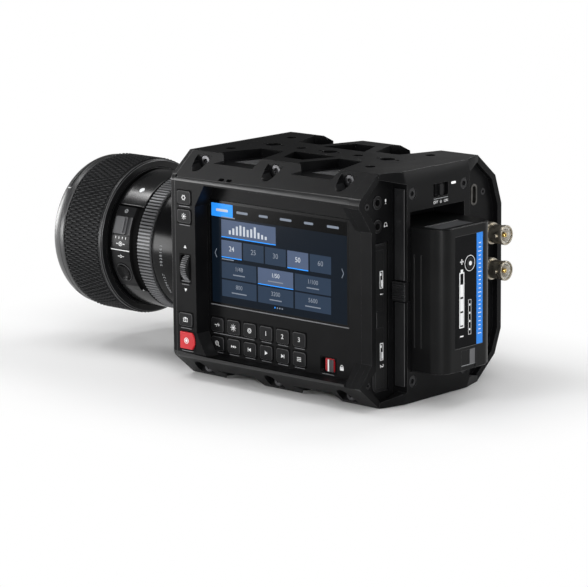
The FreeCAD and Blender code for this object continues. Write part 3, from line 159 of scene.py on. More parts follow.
def noise(tree, place, size, detail=2):
    cloud = tree.nodes.new("ShaderNodeTexNoise")
    setInputs(cloud, {"Scale": size, "Detail": detail})
    tree.links.new(place, cloud.inputs["Vector"])
    return cloud


def patches(tree, cloud, dark, light, target, share=(0, 1)):
    # a colour that drifts from dark to light with the noise
    ramp = tree.nodes.new("ShaderNodeValToRGB")
    for element, colour, position in zip(ramp.color_ramp.elements, (dark, light), share):
        element.color = (*colour, 1)
        element.position = position
    tree.links.new(cloud.outputs["Fac"], ramp.inputs["Fac"])
    tree.links.new(ramp.outputs["Color"], target)


grainDepth = 0.00004


def finish(name, dark, light, rough, roughSpread=0.06, grain=2500, bump=0.15, metallic=0.0, specular=0.5,
           patch=60):
    # a coated or moulded surface: colour drifts in soft patches, fine grain in the bump
    m, tree, shader = newMaterial(name)
    place = objectCoords(tree)
    cloud = noise(tree, place, patch, detail=4)
    patches(tree, cloud, dark, light, shader.inputs["Base Color"], (0.35, 0.65))
    spread = tree.nodes.new("ShaderNodeMapRange")
    setInputs(spread, {"To Min": rough - roughSpread, "To Max": rough + roughSpread})
    tree.links.new(cloud.outputs["Fac"], spread.inputs["Value"])
    tree.links.new(spread.outputs["Result"], shader.inputs["Roughness"])
    if bump:
        relief = tree.nodes.new("ShaderNodeBump")
        setInputs(relief, {"Strength": bump, "Distance": grainDepth})
        tree.links.new(noise(tree, place, grain).outputs["Fac"], relief.inputs["Height"])
        tree.links.new(relief.outputs["Normal"], shader.inputs["Normal"])
    setInputs(shader, {"Metallic": metallic, "Specular IOR Level": specular})
    return m


# a lit colour is written as it shows, shared between its emission and its base colour
glowLevel = {"emission": 0.65, "base": 0.45}


def glow(name, colour):
    # a lit part of the screen or a lamp, a little uneven
    m, tree, shader = newMaterial(name)
    cloud = noise(tree, objectCoords(tree), 40)
    patches(tree, cloud, [c * 0.96 for c in colour], colour, shader.inputs["Emission Color"])
    setInputs(shader, {"Base Color": (*[c * glowLevel["base"] for c in colour], 1), "Roughness": 0.2,
                       "Emission Strength": glowLevel["emission"], "Specular IOR Level": 0.06})
    return m


def glassFinish(name, tint, rough):
    m, tree, shader = newMaterial(name)
    cloud = noise(tree, objectCoords(tree), 25)
    patches(tree, cloud, tint, [min(1, c * 1.15) for c in tint], shader.inputs["Base Color"])
    setInputs(shader, {"Roughness": rough, "Coat Weight": 0.6, "Coat Roughness": 0.03,
                       "Coat Tint": (0.75, 0.8, 1.0, 1)})
    return m


paint = finish("bodyPaint", (0.0036, 0.0037, 0.004), (0.0052, 0.0053, 0.0057), 0.4, specular=0.08,
               grain=2600, bump=0.3)
# a lighter, glossier copy of the body paint: a painted highlight on the rounded creases and on faces that
# slope up to the rear
paintHighlight = finish("bodyRound", (0.007, 0.0072, 0.0077), (0.01, 0.0102, 0.0108), 0.34, specular=0.45,
                    bump=0.25)
# lighter, glossier finishes for the broken edges, here and in grilleEdge, keyEdge and batteryEdge: edge wear
# and a painted highlight along every edge
paintEdge = finish("bodyEdge", (0.018, 0.0183, 0.0192), (0.03, 0.0305, 0.032), 0.3, specular=0.9, bump=0.2)
stripPaint = finish("stripPaint", (0.0038, 0.0039, 0.0042), (0.0054, 0.0055, 0.0059), 0.42, specular=0.08,
                    grain=2600, bump=0.3)
# the grilles are far lighter than the body paint: painted light on them down in the vents
grillePaint = finish("grillePaint", (0.05, 0.051, 0.0535), (0.066, 0.067, 0.07), 0.42, specular=1.0,
                     bump=0.2)
grilleEdge = finish("grilleEdge", (0.08, 0.081, 0.085), (0.11, 0.112, 0.118), 0.35, specular=0.9, bump=0.2)
# lighter than the body paint: painted light on the battery block's side rail
railPaint = finish("railPaint", (0.011, 0.0112, 0.012), (0.015, 0.0153, 0.016), 0.34, specular=0.5, bump=0.2)
keyRubber = finish("keyRubber", (0.005, 0.0051, 0.0056), (0.007, 0.0072, 0.0078), 0.45, specular=0.14,
                   bump=0.25)
keyEdge = finish("keyEdge", (0.02, 0.0205, 0.022), (0.032, 0.033, 0.035), 0.4, specular=0.5, bump=0.2)
# near black: the dark joints round the keys, and painted shade in the slot round the lens panel
seamBlack = finish("seamBlack", (0.0012, 0.0012, 0.0013), (0.002, 0.002, 0.0021), 0.7, specular=0.06,
                   bump=0.1)
recordRed = finish("recordRed", (0.48, 0.012, 0.018), (0.56, 0.018, 0.026), 0.42, specular=0.35, bump=0.2)
lockRed = finish("lockRed", (0.33, 0.006, 0.012), (0.4, 0.01, 0.017), 0.45, specular=0.3, bump=0.1)
whitePaint = finish("whitePaint", (0.72, 0.73, 0.74), (0.8, 0.8, 0.8), 0.5, specular=0.3, bump=0.05)
# light grey for painted highlights: ledges under the keys, the screen's lower edge and the thumb wheel's ribs
ledgeGrey = finish("ledgeGrey", (0.13, 0.132, 0.138), (0.17, 0.172, 0.18), 0.4, specular=0.5, bump=0.1)
greyPrint = finish("greyPrint", (0.3, 0.31, 0.32), (0.36, 0.37, 0.38), 0.5, specular=0.3, bump=0.05)
batteryPlastic = finish("batteryPlastic", (0.0036, 0.0037, 0.0039), (0.005, 0.0052, 0.0054), 0.34,
                        specular=0.12, grain=3200, bump=0.3)
batteryEdge = finish("batteryEdge", (0.009, 0.0092, 0.0096), (0.012, 0.0123, 0.0128), 0.33, specular=0.4,
                     bump=0.2)
batteryLabel = finish("batteryLabel", (0.0055, 0.0057, 0.0061), (0.0072, 0.0074, 0.0079), 0.5, specular=0.03,
                      bump=0.12)
patchGrey = finish("patchGrey", (0.05, 0.051, 0.054), (0.065, 0.066, 0.07), 0.4, specular=0.5, bump=0.12)
batteryBlue = finish("batteryBlue", (0.012, 0.19, 0.66), (0.017, 0.215, 0.72), 0.45, specular=0.3, bump=0.08)
doorPlastic = finish("doorPlastic", (0.0045, 0.0046, 0.0049), (0.0065, 0.0067, 0.007), 0.5, specular=0.25,
                     bump=0.3)
screwBlack = finish("screwBlack", (0.012, 0.012, 0.013), (0.026, 0.026, 0.0275), 0.32, metallic=0.6,
                    bump=0.1, patch=300)
screwBright = finish("screwBright", (0.05, 0.05, 0.0525), (0.1, 0.1, 0.104), 0.34, metallic=1.0, bump=0.1,
                     patch=300)
nickel = finish("nickel", (0.3, 0.275, 0.225), (0.52, 0.475, 0.395), 0.3, roughSpread=0.1, metallic=0.92,
                bump=0.1, patch=420)
gold = finish("contactGold", (0.62, 0.42, 0.13), (0.78, 0.55, 0.2), 0.25, metallic=1.0, bump=0.05, patch=300)
steel = finish("portSteel", (0.055, 0.053, 0.049), (0.1, 0.097, 0.09), 0.34, metallic=0.8, bump=0.08,
               patch=300)
mountSteel = finish("mountSteel", (0.5, 0.5, 0.51), (0.62, 0.62, 0.63), 0.26, metallic=1.0, bump=0.05,
                    patch=200)
# pale grey: the socket insulator's own colour, and painted light on the bore walls
boreGrey = finish("boreGrey", (0.5, 0.49, 0.45), (0.62, 0.6, 0.55), 0.35, specular=0.4, bump=0.05)
lensPaint = finish("lensPaint", (0.0055, 0.0056, 0.006), (0.0075, 0.0077, 0.0082), 0.32, specular=0.22,
                   grain=3000, bump=0.08)
lensGloss = finish("lensGloss", (0.0028, 0.0029, 0.0031), (0.0038, 0.0039, 0.0042), 0.2, roughSpread=0.02,
                   specular=0.14, bump=0.02)
ringGloss = finish("ringGloss", (0.005, 0.0051, 0.0055), (0.007, 0.0072, 0.0077), 0.2, roughSpread=0.02,
                   specular=0.6, bump=0.02)
frontMetal = finish("frontMetal", (0.014, 0.0143, 0.015), (0.02, 0.0205, 0.0213), 0.33, specular=0.85,
                    bump=0.1)
lensPanel = finish("lensPanel", (0.007, 0.0072, 0.0077), (0.01, 0.0102, 0.0108), 0.3, specular=0.14,
                   bump=0.1)
buttonGloss = finish("buttonGloss", (0.003, 0.0031, 0.0033), (0.0042, 0.0043, 0.0046), 0.26, specular=0.12,
                     bump=0.03)
# a light grey for the switch window's floor: a painted pool of light
switchWell = finish("switchWell", (0.06, 0.061, 0.064), (0.08, 0.081, 0.085), 0.4, specular=0.5, bump=0.1)
switchGrey = finish("switchGrey", (0.045, 0.046, 0.049), (0.06, 0.061, 0.065), 0.4, specular=0.5, bump=0.15)
gripRubber = finish("gripRubber", (0.0175, 0.0178, 0.0187), (0.023, 0.0235, 0.0246), 0.5, specular=0.2,
                    bump=0.3)
# darker than the grip pads: painted shade in the grooves between them
grooveRubber = finish("grooveRubber", (0.0105, 0.0107, 0.0112), (0.0135, 0.0138, 0.0144), 0.7, specular=0.15,
                      bump=0.3)
# light grey: a painted highlight on the aperture ribs and on the lens rings' and focus switch's edges; the
# battery's latch tab is this grey too
ringMetal = finish("ringMetal", (0.1, 0.101, 0.106), (0.14, 0.142, 0.148), 0.36, metallic=0.3, specular=0.5,
                   bump=0.1)
silverBadge = finish("silverBadge", (0.42, 0.43, 0.44), (0.52, 0.53, 0.54), 0.3, metallic=0.8, bump=0.05)
insidePlastic = finish("insidePlastic", (0.004, 0.004, 0.0043), (0.006, 0.006, 0.0065), 0.55, specular=0.25,
                       bump=0.3)
boardGreen = finish("boardGreen", (0.006, 0.05, 0.025), (0.01, 0.07, 0.035), 0.4, bump=0.2, patch=400)
sinkAlloy = finish("sinkAlloy", (0.42, 0.42, 0.43), (0.52, 0.52, 0.53), 0.4, metallic=1.0, bump=0.2)
sensorDark = finish("sensorDark", (0.02, 0.012, 0.03), (0.03, 0.018, 0.045), 0.12, bump=0.02)
screenBlack = finish("screenBlack", (0.0016, 0.0016, 0.0018), (0.0022, 0.0022, 0.0024), 0.22,
                     roughSpread=0.02, specular=0.12, bump=0)
frontGlass = glassFinish("frontGlass", (0.004, 0.006, 0.012), 0.04)
lampWhite = glow("lampWhite", (1, 1, 1))
screenNavy = glow("screenNavy", (0.0038, 0.0075, 0.0136))
screenTile = glow("screenTile", (0.0235, 0.040, 0.070))
screenPicked = glow("screenPicked", (0.076, 0.105, 0.175))
screenBlue = glow("screenBlue", (0.027, 0.31, 1.0))
screenText = glow("screenText", (0.2, 0.23, 0.28))
screenBright = glow("screenBright", (0.52, 0.56, 0.62))
screenBar = glow("screenBar", (0.0006, 0.0006, 0.0007))
print("materials made")


# Carried-over CAD pieces, welded and given broken edges

creased = ("body_shell", "front_plate", "rear_frame")
creaseLine = {"radius": 1.9, "x": 51.2, "levels": (11.6, 101.6), "near": 0.06}
# the angles past which an edge is broken, and kept sharp in the shading
softAngle = {"plain": (28, 32), "battery": (50, 50)}
highlightSlopeFrom = 0.3


def roundCreases(obj):
    # the long edges between the side's face and the two long bevels
    unselected(obj, "EDGE")
    spots = obj.data.vertices
    x, near = creaseLine["x"], creaseLine["near"]
    count = 0
    for e in obj.data.edges:
        a, b = (spots[i].co / mm for i in e.vertices)
        for z in creaseLine["levels"]:
            if all(abs(p.x - x) < near and abs(p.z - z) < near for p in (a, b)):
                e.select = True
                count += 1
    bpy.ops.object.mode_set(mode="EDIT")
    if count:
        # the rounded crease takes the third material, the lighter copy of the paint, as a painted highlight
        bpy.ops.mesh.bevel(offset=creaseLine["radius"] * mm, segments=4, affect="EDGES", material=2)
    objectMode()
    print("creases", obj.name, count)


def brokenEdges(obj, width, limit):
    # a narrow bevel in the second material on every edge sharper than the limit; a lighter second material is
    # edge wear and a painted highlight together
    bevel = obj.modifiers.new("edges", "BEVEL")
    bevel.width = width * mm
    bevel.segments = 2
    bevel.limit_method = "ANGLE"
    bevel.angle_limit = math.radians(limit)
    bevel.material = 1
    bevel.harden_normals = False
    applyAll(obj)


def softened(node, name, main, edge, width, slot):
    source = nodes[node]
    obj = bpy.data.objects.new(name, source.data.copy())
    scene.collection.objects.link(obj)
    obj.data.materials.clear()
    for material in (main, edge, paintHighlight) if node in creased else (main, edge):
        obj.data.materials.append(material)
    for poly in obj.data.polygons:
        poly.material_index = 0
    editMode(obj, "VERT")
    weldAll()
    bpy.ops.mesh.dissolve_limited(angle_limit=math.radians(0.6))
    objectMode()
    if node in creased:
        roundCreases(obj)
    limit, smooth = softAngle.get(node, softAngle["plain"])
    brokenEdges(obj, width, limit)
    if node == "body_shell":
        # faces that slope up and to the rear take the creases' lighter, glossier copy of the paint: a painted
        # highlight
        for poly in obj.data.polygons:
            if poly.material_index == 0 and min(poly.normal.y, poly.normal.z) > highlightSlopeFrom:
                poly.material_index = 2
    shaded(obj, smooth)
    fitted(obj, source["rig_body"], slot)
    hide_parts(node)
    return obj


housing = {
    "body_shell": ("bodyShell", paint, paintEdge, 0.45, "housing_black"),
    "front_plate": ("frontPlate", paint, paintEdge, 0.4, "housing_black"),
    "rear_frame": ("rearFrame", paint, paintEdge, 0.4, "housing_black"),
    "side_plate": ("sidePlate", paint, paintEdge, 0.35, "housing_black"),
    "battery_block": ("batteryBlock", paint, paintEdge, 0.35, "housing_black"),
    "top_mount_strip": ("topStrip", stripPaint, paintEdge, 0.2, "strip_black"),
    "bottom_mount_strip": ("bottomStrip", stripPaint, paintEdge, 0.2, "strip_black"),
    "vent_grilles": ("ventGrilles", grillePaint, grilleEdge, 0.12, "strip_black"),
    "cage_screws": ("cageScrews", screwBright, screwBright, 0.25, "screw_steel"),
    "rear_screws": ("rearScrews", screwBlack, screwBlack, 0.25, "screw_steel"),
    "screen_glass": ("screenGlass", screenBlack, screenBlack, 0.2, "screen"),
    "battery": ("batteryCase", batteryPlastic, batteryEdge, 0.35, "battery_grey"),
    "battery_release": ("batteryRelease", insidePlastic, keyEdge, 0.15, "key_black"),
    "power_slider": ("powerKnob", keyRubber, keyEdge, 0.2, "key_black"),
    "media_door": ("mediaDoor", doorPlastic, keyEdge, 0.2, "jack_black"),
    "audio_jacks": ("audioJacks", insidePlastic, keyEdge, 0.2, "jack_black"),
    "power_socket": ("powerSocket", insidePlastic, keyEdge, 0.2, "jack_black"),
    "usb_port": ("usbPort", steel, steel, 0.12, "port_steel"),
    "lens_release_button": ("lensRelease", keyRubber, keyEdge, 0.3, "key_black"),
    "battery_check_button": ("batteryCheck", keyRubber, keyEdge, 0.15, "key_black"),
    "af_switch": ("focusModeSwitch", switchGrey, ringMetal, 0.15, "key_black"),
    "focus_button": ("focusHoldButton", buttonGloss, keyEdge, 0.3, "key_black"),
    "record_key": ("recordKey", recordRed, recordRed, 0.35, "key_red"),
    "lock_slider": ("lockSlider", lockRed, lockRed, 0.15, "key_red"),
    "lens_mount_ring": ("lensMountRing", mountSteel, mountSteel, 0.15, "mount_steel"),
    "lens_bayonet": ("lensBayonet", mountSteel, mountSteel, 0.15, "mount_steel"),
}
padKeys = ["iso_key", "balance_key", "shutter_key", "one_key", "two_key", "three_key",
           "zoom_key", "speed_key", "back_key", "play_key", "next_key", "menu_key"]
edgeKeys = ["settings_key", "assist_key", "still_key"]
for key in padKeys + edgeKeys:
    words = key.split("_")
    housing[key] = (words[0] + "Key", keyRubber, keyEdge, 0.3, "key_black")

shown = {}
for node, (name, main, edge, width, slot) in housing.items():
    shown[node] = softened(node, name, main, edge, width, slot)
print("housing pieces softened", len(shown))

# the check button's foot is drawn up, clear of the bottom of its well when pressed
checkFoot = {"depth": 1.0, "lift": 0.4}
checkButton = shown["battery_check_button"]
unselected(checkButton, "VERT")
checkTop = max(v.co.y for v in checkButton.data.vertices)
for v in checkButton.data.vertices:
    v.select = v.co.y < checkTop - checkFoot["depth"] * mm
bpy.ops.object.mode_set(mode="EDIT")
bpy.ops.transform.translate(value=(0, checkFoot["lift"] * mm, 0))
objectMode()

# nodes that keep their CAD mesh
plainFinish = {
    "wheel_pin": screwBlack, "status_light": lampWhite, "battery_contacts": gold, "card_slots": insidePlastic,
    "fan_frame": insidePlastic, "fan_rotor": insidePlastic, "image_sensor": sensorDark,
    "heat_sink": sinkAlloy, "main_board": boardGreen, "rear_glass": frontGlass,
}
for node, material in plainFinish.items():
    nodes[node].data.materials.clear()
    nodes[node].data.materials.append(material)


# Lens, turned rings

lens = {"axisZ": 56.8, "flangeY": -60.6, "steps": 192, "ringBreak": 25}


def turned(x, z, outline, steps):
    # one circle about a line parallel to Y, extruded and scaled along the outline of (radius, y)
    deselectAll()
    radius, y = outline[0]
    bpy.ops.mesh.primitive_circle_add(vertices=steps, radius=radius * mm, fill_type="NOTHING",
                                      location=(x * mm, y * mm, z * mm), rotation=(math.radians(90), 0, 0))
    obj = settle(bpy.context.object)
    editMode(obj, "EDGE")
    for r, yNext in outline[1:]:
        bpy.ops.mesh.extrude_region_move(TRANSFORM_OT_translate={"value": (0, (yNext - y) * mm, 0)})
        grow = r / radius
        if abs(grow - 1) > 1e-8:
            bpy.ops.transform.resize(value=(grow, 1, grow), center_override=(x * mm, yNext * mm, z * mm))
        radius, y = r, yNext
    weldAll()
    return obj


def closeHoles():
    bpy.ops.mesh.select_all(action="DESELECT")
    bpy.ops.mesh.select_non_manifold()
    bpy.ops.mesh.fill_holes(sides=0)


def turnedRing(name, outline, main, edge, body, slot, node, bevelWidth=0.25):
    # the outline is (radius, distance ahead of the flange) and closes on itself
    outline = [(r, lens["flangeY"] - a) for r, a in outline + outline[:1]]
    obj = turned(0, lens["axisZ"], outline, lens["steps"])
    bpy.ops.mesh.normals_make_consistent(inside=False)
    objectMode()
    obj.name = name
    obj.data.materials.append(main)
    obj.data.materials.append(edge)
    if bevelWidth:
        brokenEdges(obj, bevelWidth, lens["ringBreak"])
    shaded(obj, 30)
    fitted(obj, body, slot)
    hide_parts(node)
    return obj


wall = 2.6
seatAperture = 35.6 - 2.8
seatFocus = 40.1 - 1.3 - 2.4 - 0.3
panel = {"radius": 35.6, "middle": 51.65, "buttonDown": 21.8, "wellRadius": 5.45, "wellDeep": 5.6,
         "windowUp": 18.7, "window": (3, 12.1, 9.4)}


def cutWith(obj, cutter):
    boolean = obj.modifiers.new("cut", "BOOLEAN")
    boolean.operation = "DIFFERENCE"
    boolean.solver = "EXACT"
    boolean.object = cutter
    pick(obj)
    bpy.ops.object.modifier_apply(modifier="cut")
    bpy.data.objects.remove(cutter)


def aboutLens(obj, degrees):
    # turns a piece laid out at the +X side of the lens; a positive angle lifts it
    turn = Matrix.Translation(Vector((0, 0, lens["axisZ"] * mm)))
    turn = turn @ Matrix.Rotation(math.radians(-degrees), 4, "Y")
    turn = turn @ Matrix.Translation(Vector((0, 0, -lens["axisZ"] * mm)))
    obj.matrix_world = turn @ obj.matrix_world
    return settle(obj)


def sectorBlock(r0, r1, a0, a1, low, high, steps=24):
    # a curved bar about the lens axis between two radii, two distances and two angles
    deselectAll()
    y = lens["flangeY"] - (a0 + a1) / 2
    bpy.ops.mesh.primitive_plane_add(size=1, location=((r0 + r1) / 2 * mm, y * mm, lens["axisZ"] * mm))
    obj = bpy.context.object
    obj.scale = ((r1 - r0) * mm, (a1 - a0) * mm, 1)
    settle(obj)
    aboutLens(obj, low)
    editMode(obj, "FACE")
    bpy.ops.mesh.spin(steps=steps, angle=math.radians(high - low), center=(0, 0, lens["axisZ"] * mm),
                      axis=(0, 1, 0))
    weldAll(0.000001)
    bpy.ops.mesh.normals_make_consistent(inside=False)
    objectMode()
    return obj


def blockAt(size, place, bevelWidth, segments=3):
    deselectAll()
    bpy.ops.mesh.primitive_cube_add(size=1, location=[c * mm for c in place])
    obj = bpy.context.object
    obj.scale = [s * mm for s in size]
    settle(obj)
    if bevelWidth:
        editMode(obj, "EDGE")
        bpy.ops.mesh.bevel(offset=bevelWidth * mm, segments=segments, affect="EDGES")
        objectMode()
    return obj


barrelOutline = [(31.4 - wall, 4), (31.4, 4), (31.9, 4.4), (32.9, 5.8), (33.9, 8.6), (34.5, 11.5),
                 (34.85, 15), (34.9, 20), (34.9, 27.5), (34.7, 29.6), (34.3, 30.0), (seatAperture, 30.0),
                 (seatAperture, 40.3), (34.0, 40.3), (34.0, 40.7), (35.3, 40.7), (35.6, 41.0), (35.6, 58.2),
                 (35.2, 58.6), (34.0, 59.2), (34.0, 60.6), (seatFocus, 60.6), (seatFocus, 89.1),
                 (seatFocus - wall, 89.1),
                 (seatFocus - wall, 43.3), (seatAperture - wall, 38.3), (seatAperture - wall, 12.0),
                 (31.4 - wall, 7.0)]
barrel = turnedRing("lensBarrel", barrelOutline, lensGloss, lensPaint, "lens", "lens_black", "lens_barrel")
cutWith(barrel, sectorBlock(34.1, 37, 40.4, 45.2, -40, 36.6, 60))
cutWith(barrel, sectorBlock(34.1, 37, 45.0, 59.4, 34.9, 36.6, 4))
window = blockAt(panel["window"], (35.5, lens["flangeY"] - panel["middle"], lens["axisZ"]), 0)
cutWith(barrel, aboutLens(window, panel["windowUp"]))
deselectAll()
wellPlace = (panel["radius"] * mm, (lens["flangeY"] - panel["middle"]) * mm, lens["axisZ"] * mm)
bpy.ops.mesh.primitive_cylinder_add(vertices=48, radius=panel["wellRadius"] * mm, end_fill_type="NGON",
                                    depth=panel["wellDeep"] * mm, location=wellPlace,
                                    rotation=(0, math.radians(90), 0))
cutWith(barrel, aboutLens(settle(bpy.context.object), -panel["buttonDown"]))
# the walls and floor of the slot round the panel take the near-black, painted shade in the slot
for material in (ringGloss, lensPanel, seamBlack, switchWell):
    barrel.data.materials.append(material)
bandSlot, panelSlot, shadeSlot, litWellSlot = 2, 3, 4, 5
# the switch window's floor takes the light grey, a painted pool of light down in the window
for poly in barrel.data.polygons:
    ahead = lens["flangeY"] - poly.center.y / mm
    across = Vector((poly.center.x / mm, poly.center.z / mm - lens["axisZ"]))
    angle = math.degrees(math.atan2(across.y, across.x))
    inPanel = -36 < angle < 35.2 and ahead > 45.1
    inWindow = across.length < 34.4 and 45.6 < ahead < 57.7 and 10.9 < angle < 26.5
    if across.length > 35.0 and 40.6 < ahead < 59.0:
        poly.material_index = panelSlot if inPanel else bandSlot
    elif across.length > 33.4 and 40.35 < ahead < 59.2 and -40.5 < angle < 36.8:
        poly.material_index = litWellSlot if inWindow else shadeSlot
shaded(barrel, 30)
print("barrel turned")

# front ring: two bands with a seam, rounded rim, filter seat and the hood's slot
frontOutline = [(seatFocus - wall, 89.1), (39.7, 89.1), (40.1, 89.5), (40.1, 91.5), (39.85, 91.65),
                (39.85, 91.95), (40.05, 92.1), (39.8, 94.0), (39.3, 95.6), (38.7, 96.9), (38.1, 97.9),
                (37.5, 98.5), (36.9, 98.6), (35.7, 98.6), (35.7, 94.6), (34.6, 93.4),
                (seatFocus - wall, 92.4)]
frontRing = turnedRing("lensFrontRing", frontOutline, frontMetal, frontMetal, "lens", "lens_black",
                       "lens_front_ring", 0.15)
hoodSlots = {"from": (43.5, 163.5, 283.5), "length": 30.5}
for low in hoodSlots["from"]:
    cutWith(frontRing, sectorBlock(38.9, 41, 92.9, 94.3, low, low + hoodSlots["length"], 20))
shaded(frontRing, 30)
hoodMark = sectorBlock(39.6, 39.95, 92.6, 95.0, 40.4, 41.0, 2)
hoodMark.name = "hoodMark"
fitted(hoodMark, "lens", "lens_black", whitePaint)

focusOutline = [(seatFocus + 0.3, 60.9), (39.6, 60.9), (40.4, 61.6), (40.4, 63.0), (38.8, 63.0), (38.8, 88.2),
                (seatFocus + 0.3, 88.2)]
turnedRing("focusRing", focusOutline, lensPaint, ringMetal, "focus", "lens_black", "focus_ring", 0.12)

apertureOutline = [(33.1, 30.3), (34.7, 30.3), (35.0, 30.7), (35.0, 39.6), (34.7, 40.0), (33.1, 40.0)]
turnedRing("apertureRing", apertureOutline, lensPaint, ringMetal, "aperture", "lens_black", "aperture_ring",
           0.1)
print("lens rings turned")


def spinCopies(obj, count):
    # repeats what is laid out at the +X side all round the lens axis
    editMode(obj, "VERT")
    bpy.ops.mesh.spin(steps=count, dupli=True, angle=math.radians(360), center=(0, 0, lens["axisZ"] * mm),
                      axis=(0, 1, 0))
    weldAll()
    objectMode()
    return obj


# rubber grip: staggered long pads with pointed ends, on a sleeve of darker rubber that paints shade between
# the pads
grip = {"from": 63.1, "to": 88.0, "rows": 4, "around": 105, "base": 38.8, "sleeve": 39.74, "foot": 39.5,
        "top": 40.0, "padWide": 2.16, "padHalf": 0.322, "padInset": 0.16, "padRise": 0.06}
gripOutline = [(grip["base"], 63.0), (grip["sleeve"], 63.0), (grip["sleeve"], 88.2), (grip["base"], 88.2)]
turnedRing("gripSleeve", gripOutline, grooveRubber, grooveRubber, "focus", "grip_rubber", "focus_grip", 0)
pads = []
pitch = (grip["to"] - grip["from"]) / grip["rows"]
for stagger in range(2):
    column = []
    for k in range(grip["rows"] + stagger):
        middle = grip["from"] + (k + 0.5 - stagger * 0.5) * pitch
        low = max(middle - pitch * grip["padHalf"], grip["from"])
        high = min(middle + pitch * grip["padHalf"], grip["to"])
        y = lens["flangeY"] - (low + high) / 2
        place = ((grip["top"] + grip["foot"]) / 2 * mm, y * mm, lens["axisZ"] * mm)
        deselectAll()
        bpy.ops.mesh.primitive_cylinder_add(vertices=6, radius=0.5, depth=1, end_fill_type="NGON",
                                            location=place, rotation=(0, math.radians(90), 0))
        pad = bpy.context.object
        pad.dimensions = ((grip["top"] - grip["foot"]) * mm, (high - low) * mm, grip["padWide"] * mm)
        settle(pad)
        unselected(pad, "FACE")
        for poly in pad.data.polygons:
            poly.select = poly.normal.x > 0.9
        bpy.ops.object.mode_set(mode="EDIT")
        bpy.ops.mesh.inset(thickness=grip["padInset"] * mm)
        bpy.ops.transform.translate(value=(grip["padRise"] * mm, 0, 0))
        objectMode()
        column.append(pad)
    columnPiece = joined(column, "padColumn%d" % stagger)
    if stagger:
        aboutLens(columnPiece, 180 / grip["around"])
    pads.append(spinCopies(columnPiece, grip["around"]))
gripPads = joined(pads, "gripPads")
smoothed(gripPads, 40)
fitted(gripPads, "focus", "grip_rubber", gripRubber)

# aperture ring: narrow ribs, light grey as a painted highlight on their tops
apertureRib = {"size": (0.85, 8.9, 0.92), "radius": 35.17, "ahead": 35.15, "count": 124}
ribPlace = (apertureRib["radius"], lens["flangeY"] - apertureRib["ahead"], lens["axisZ"])
ribs = spinCopies(blockAt(apertureRib["size"], ribPlace, 0.14, 1), apertureRib["count"])
ribs.name = "apertureRibs"
smoothed(ribs, 40)
fitted(ribs, "aperture", "lens_black", ringMetal)
print("grips made")

# the round button is dished: its outer face steps inward in rings of (width, depth)
dishSteps = ((0.4, 0.05), (0.6, 0.5), (0.9, 0.4), (1.2, 0.2))
button = shown["focus_button"]
down = math.radians(-panel["buttonDown"])
outward = Vector((math.cos(down), 0, math.sin(down)))
axis = Vector((0, 0, lens["axisZ"] * mm))
unselected(button, "FACE")
for poly in button.data.polygons:
    poly.select = poly.normal.dot(outward) > 0.97 and (poly.center - axis).dot(outward) > 0.035
bpy.ops.object.mode_set(mode="EDIT")
for thickness, sunk in dishSteps:
    bpy.ops.mesh.inset(thickness=thickness * mm)
    bpy.ops.transform.translate(value=[-c * sunk * mm for c in outward])
objectMode()
smoothed(button, 50)
print("button dished")

# front element
glassOutline = [(0.4, 93.7), (6.0, 93.55), (12.0, 93.1), (18.0, 92.3), (24.0, 91.1), (29.0, 89.8),
                (33.0, 88.5), (33.0, 86.4), (0.4, 86.4)]
turnedRing("frontElement", glassOutline, frontGlass, frontGlass, "lens", "clear_glass", "front_glass", 0)
editMode(bpy.data.objects["frontElement"], "VERT")
closeHoles()
objectMode()
print("front element made")


# Printed marks: flat shapes in millimetres on a face, u to the right and v up as one reads them

faces = {
    "side": (Vector((0, 1, 0)), Vector((0, 0, 1)), Vector((1, 0, 0))),
    "rear": (Vector((-1, 0, 0)), Vector((0, 0, 1)), Vector((0, 1, 0))),
    "top": (Vector((0, 1, 0)), Vector((-1, 0, 0)), Vector((0, 0, 1))),
}


def faceMatrix(face, origin):
    u, v, n = faces[face]
    m = Matrix((u, v, n)).transposed().to_4x4()
    m.translation = Vector([c * mm for c in origin])
    return m


def bar(u, v, w, h, degrees=0):
    deselectAll()
    bpy.ops.mesh.primitive_plane_add(size=1, location=(u * mm, v * mm, 0),
                                     rotation=(0, 0, math.radians(degrees)))
    o = bpy.context.object
    o.scale = (w * mm, h * mm, 1)
    return settle(o)


def roundBar(u, v, w, h, r):
    o = bar(0, 0, w, h)
    editMode(o, "VERT")
    bpy.ops.mesh.bevel(offset=r * mm, segments=4, affect="VERTICES")
    objectMode()
    o.location = (u * mm, v * mm, 0)
    return settle(o)


def disc(u, v, r, sides=32, degrees=0):
    deselectAll()
    bpy.ops.mesh.primitive_circle_add(vertices=sides, radius=r * mm, fill_type="NGON",
                                      location=(u * mm, v * mm, 0), rotation=(0, 0, math.radians(degrees)))
    return settle(bpy.context.object)


def ring(u, v, r, w):
    o = disc(0, 0, r, 40)
    editMode(o, "FACE")
    bpy.ops.mesh.inset(thickness=w * mm)
    bpy.ops.mesh.delete(type="FACE")
    objectMode()
    o.location = (u * mm, v * mm, 0)
    return settle(o)


def frameOf(u, v, w, h, line):
    up, out, tall = h / 2 - line / 2, w / 2 - line / 2, h - 2 * line
    return joined([bar(u, v + up, w, line), bar(u, v - up, w, line),
                   bar(u - out, v, line, tall), bar(u + out, v, line, tall)], "frame")


def triangle(u, v, r, degrees):
    # points up at 0, left at 90
    return disc(u, v, r, 3, degrees)


lettering = {"size": 1.38, "weight": 0.012}


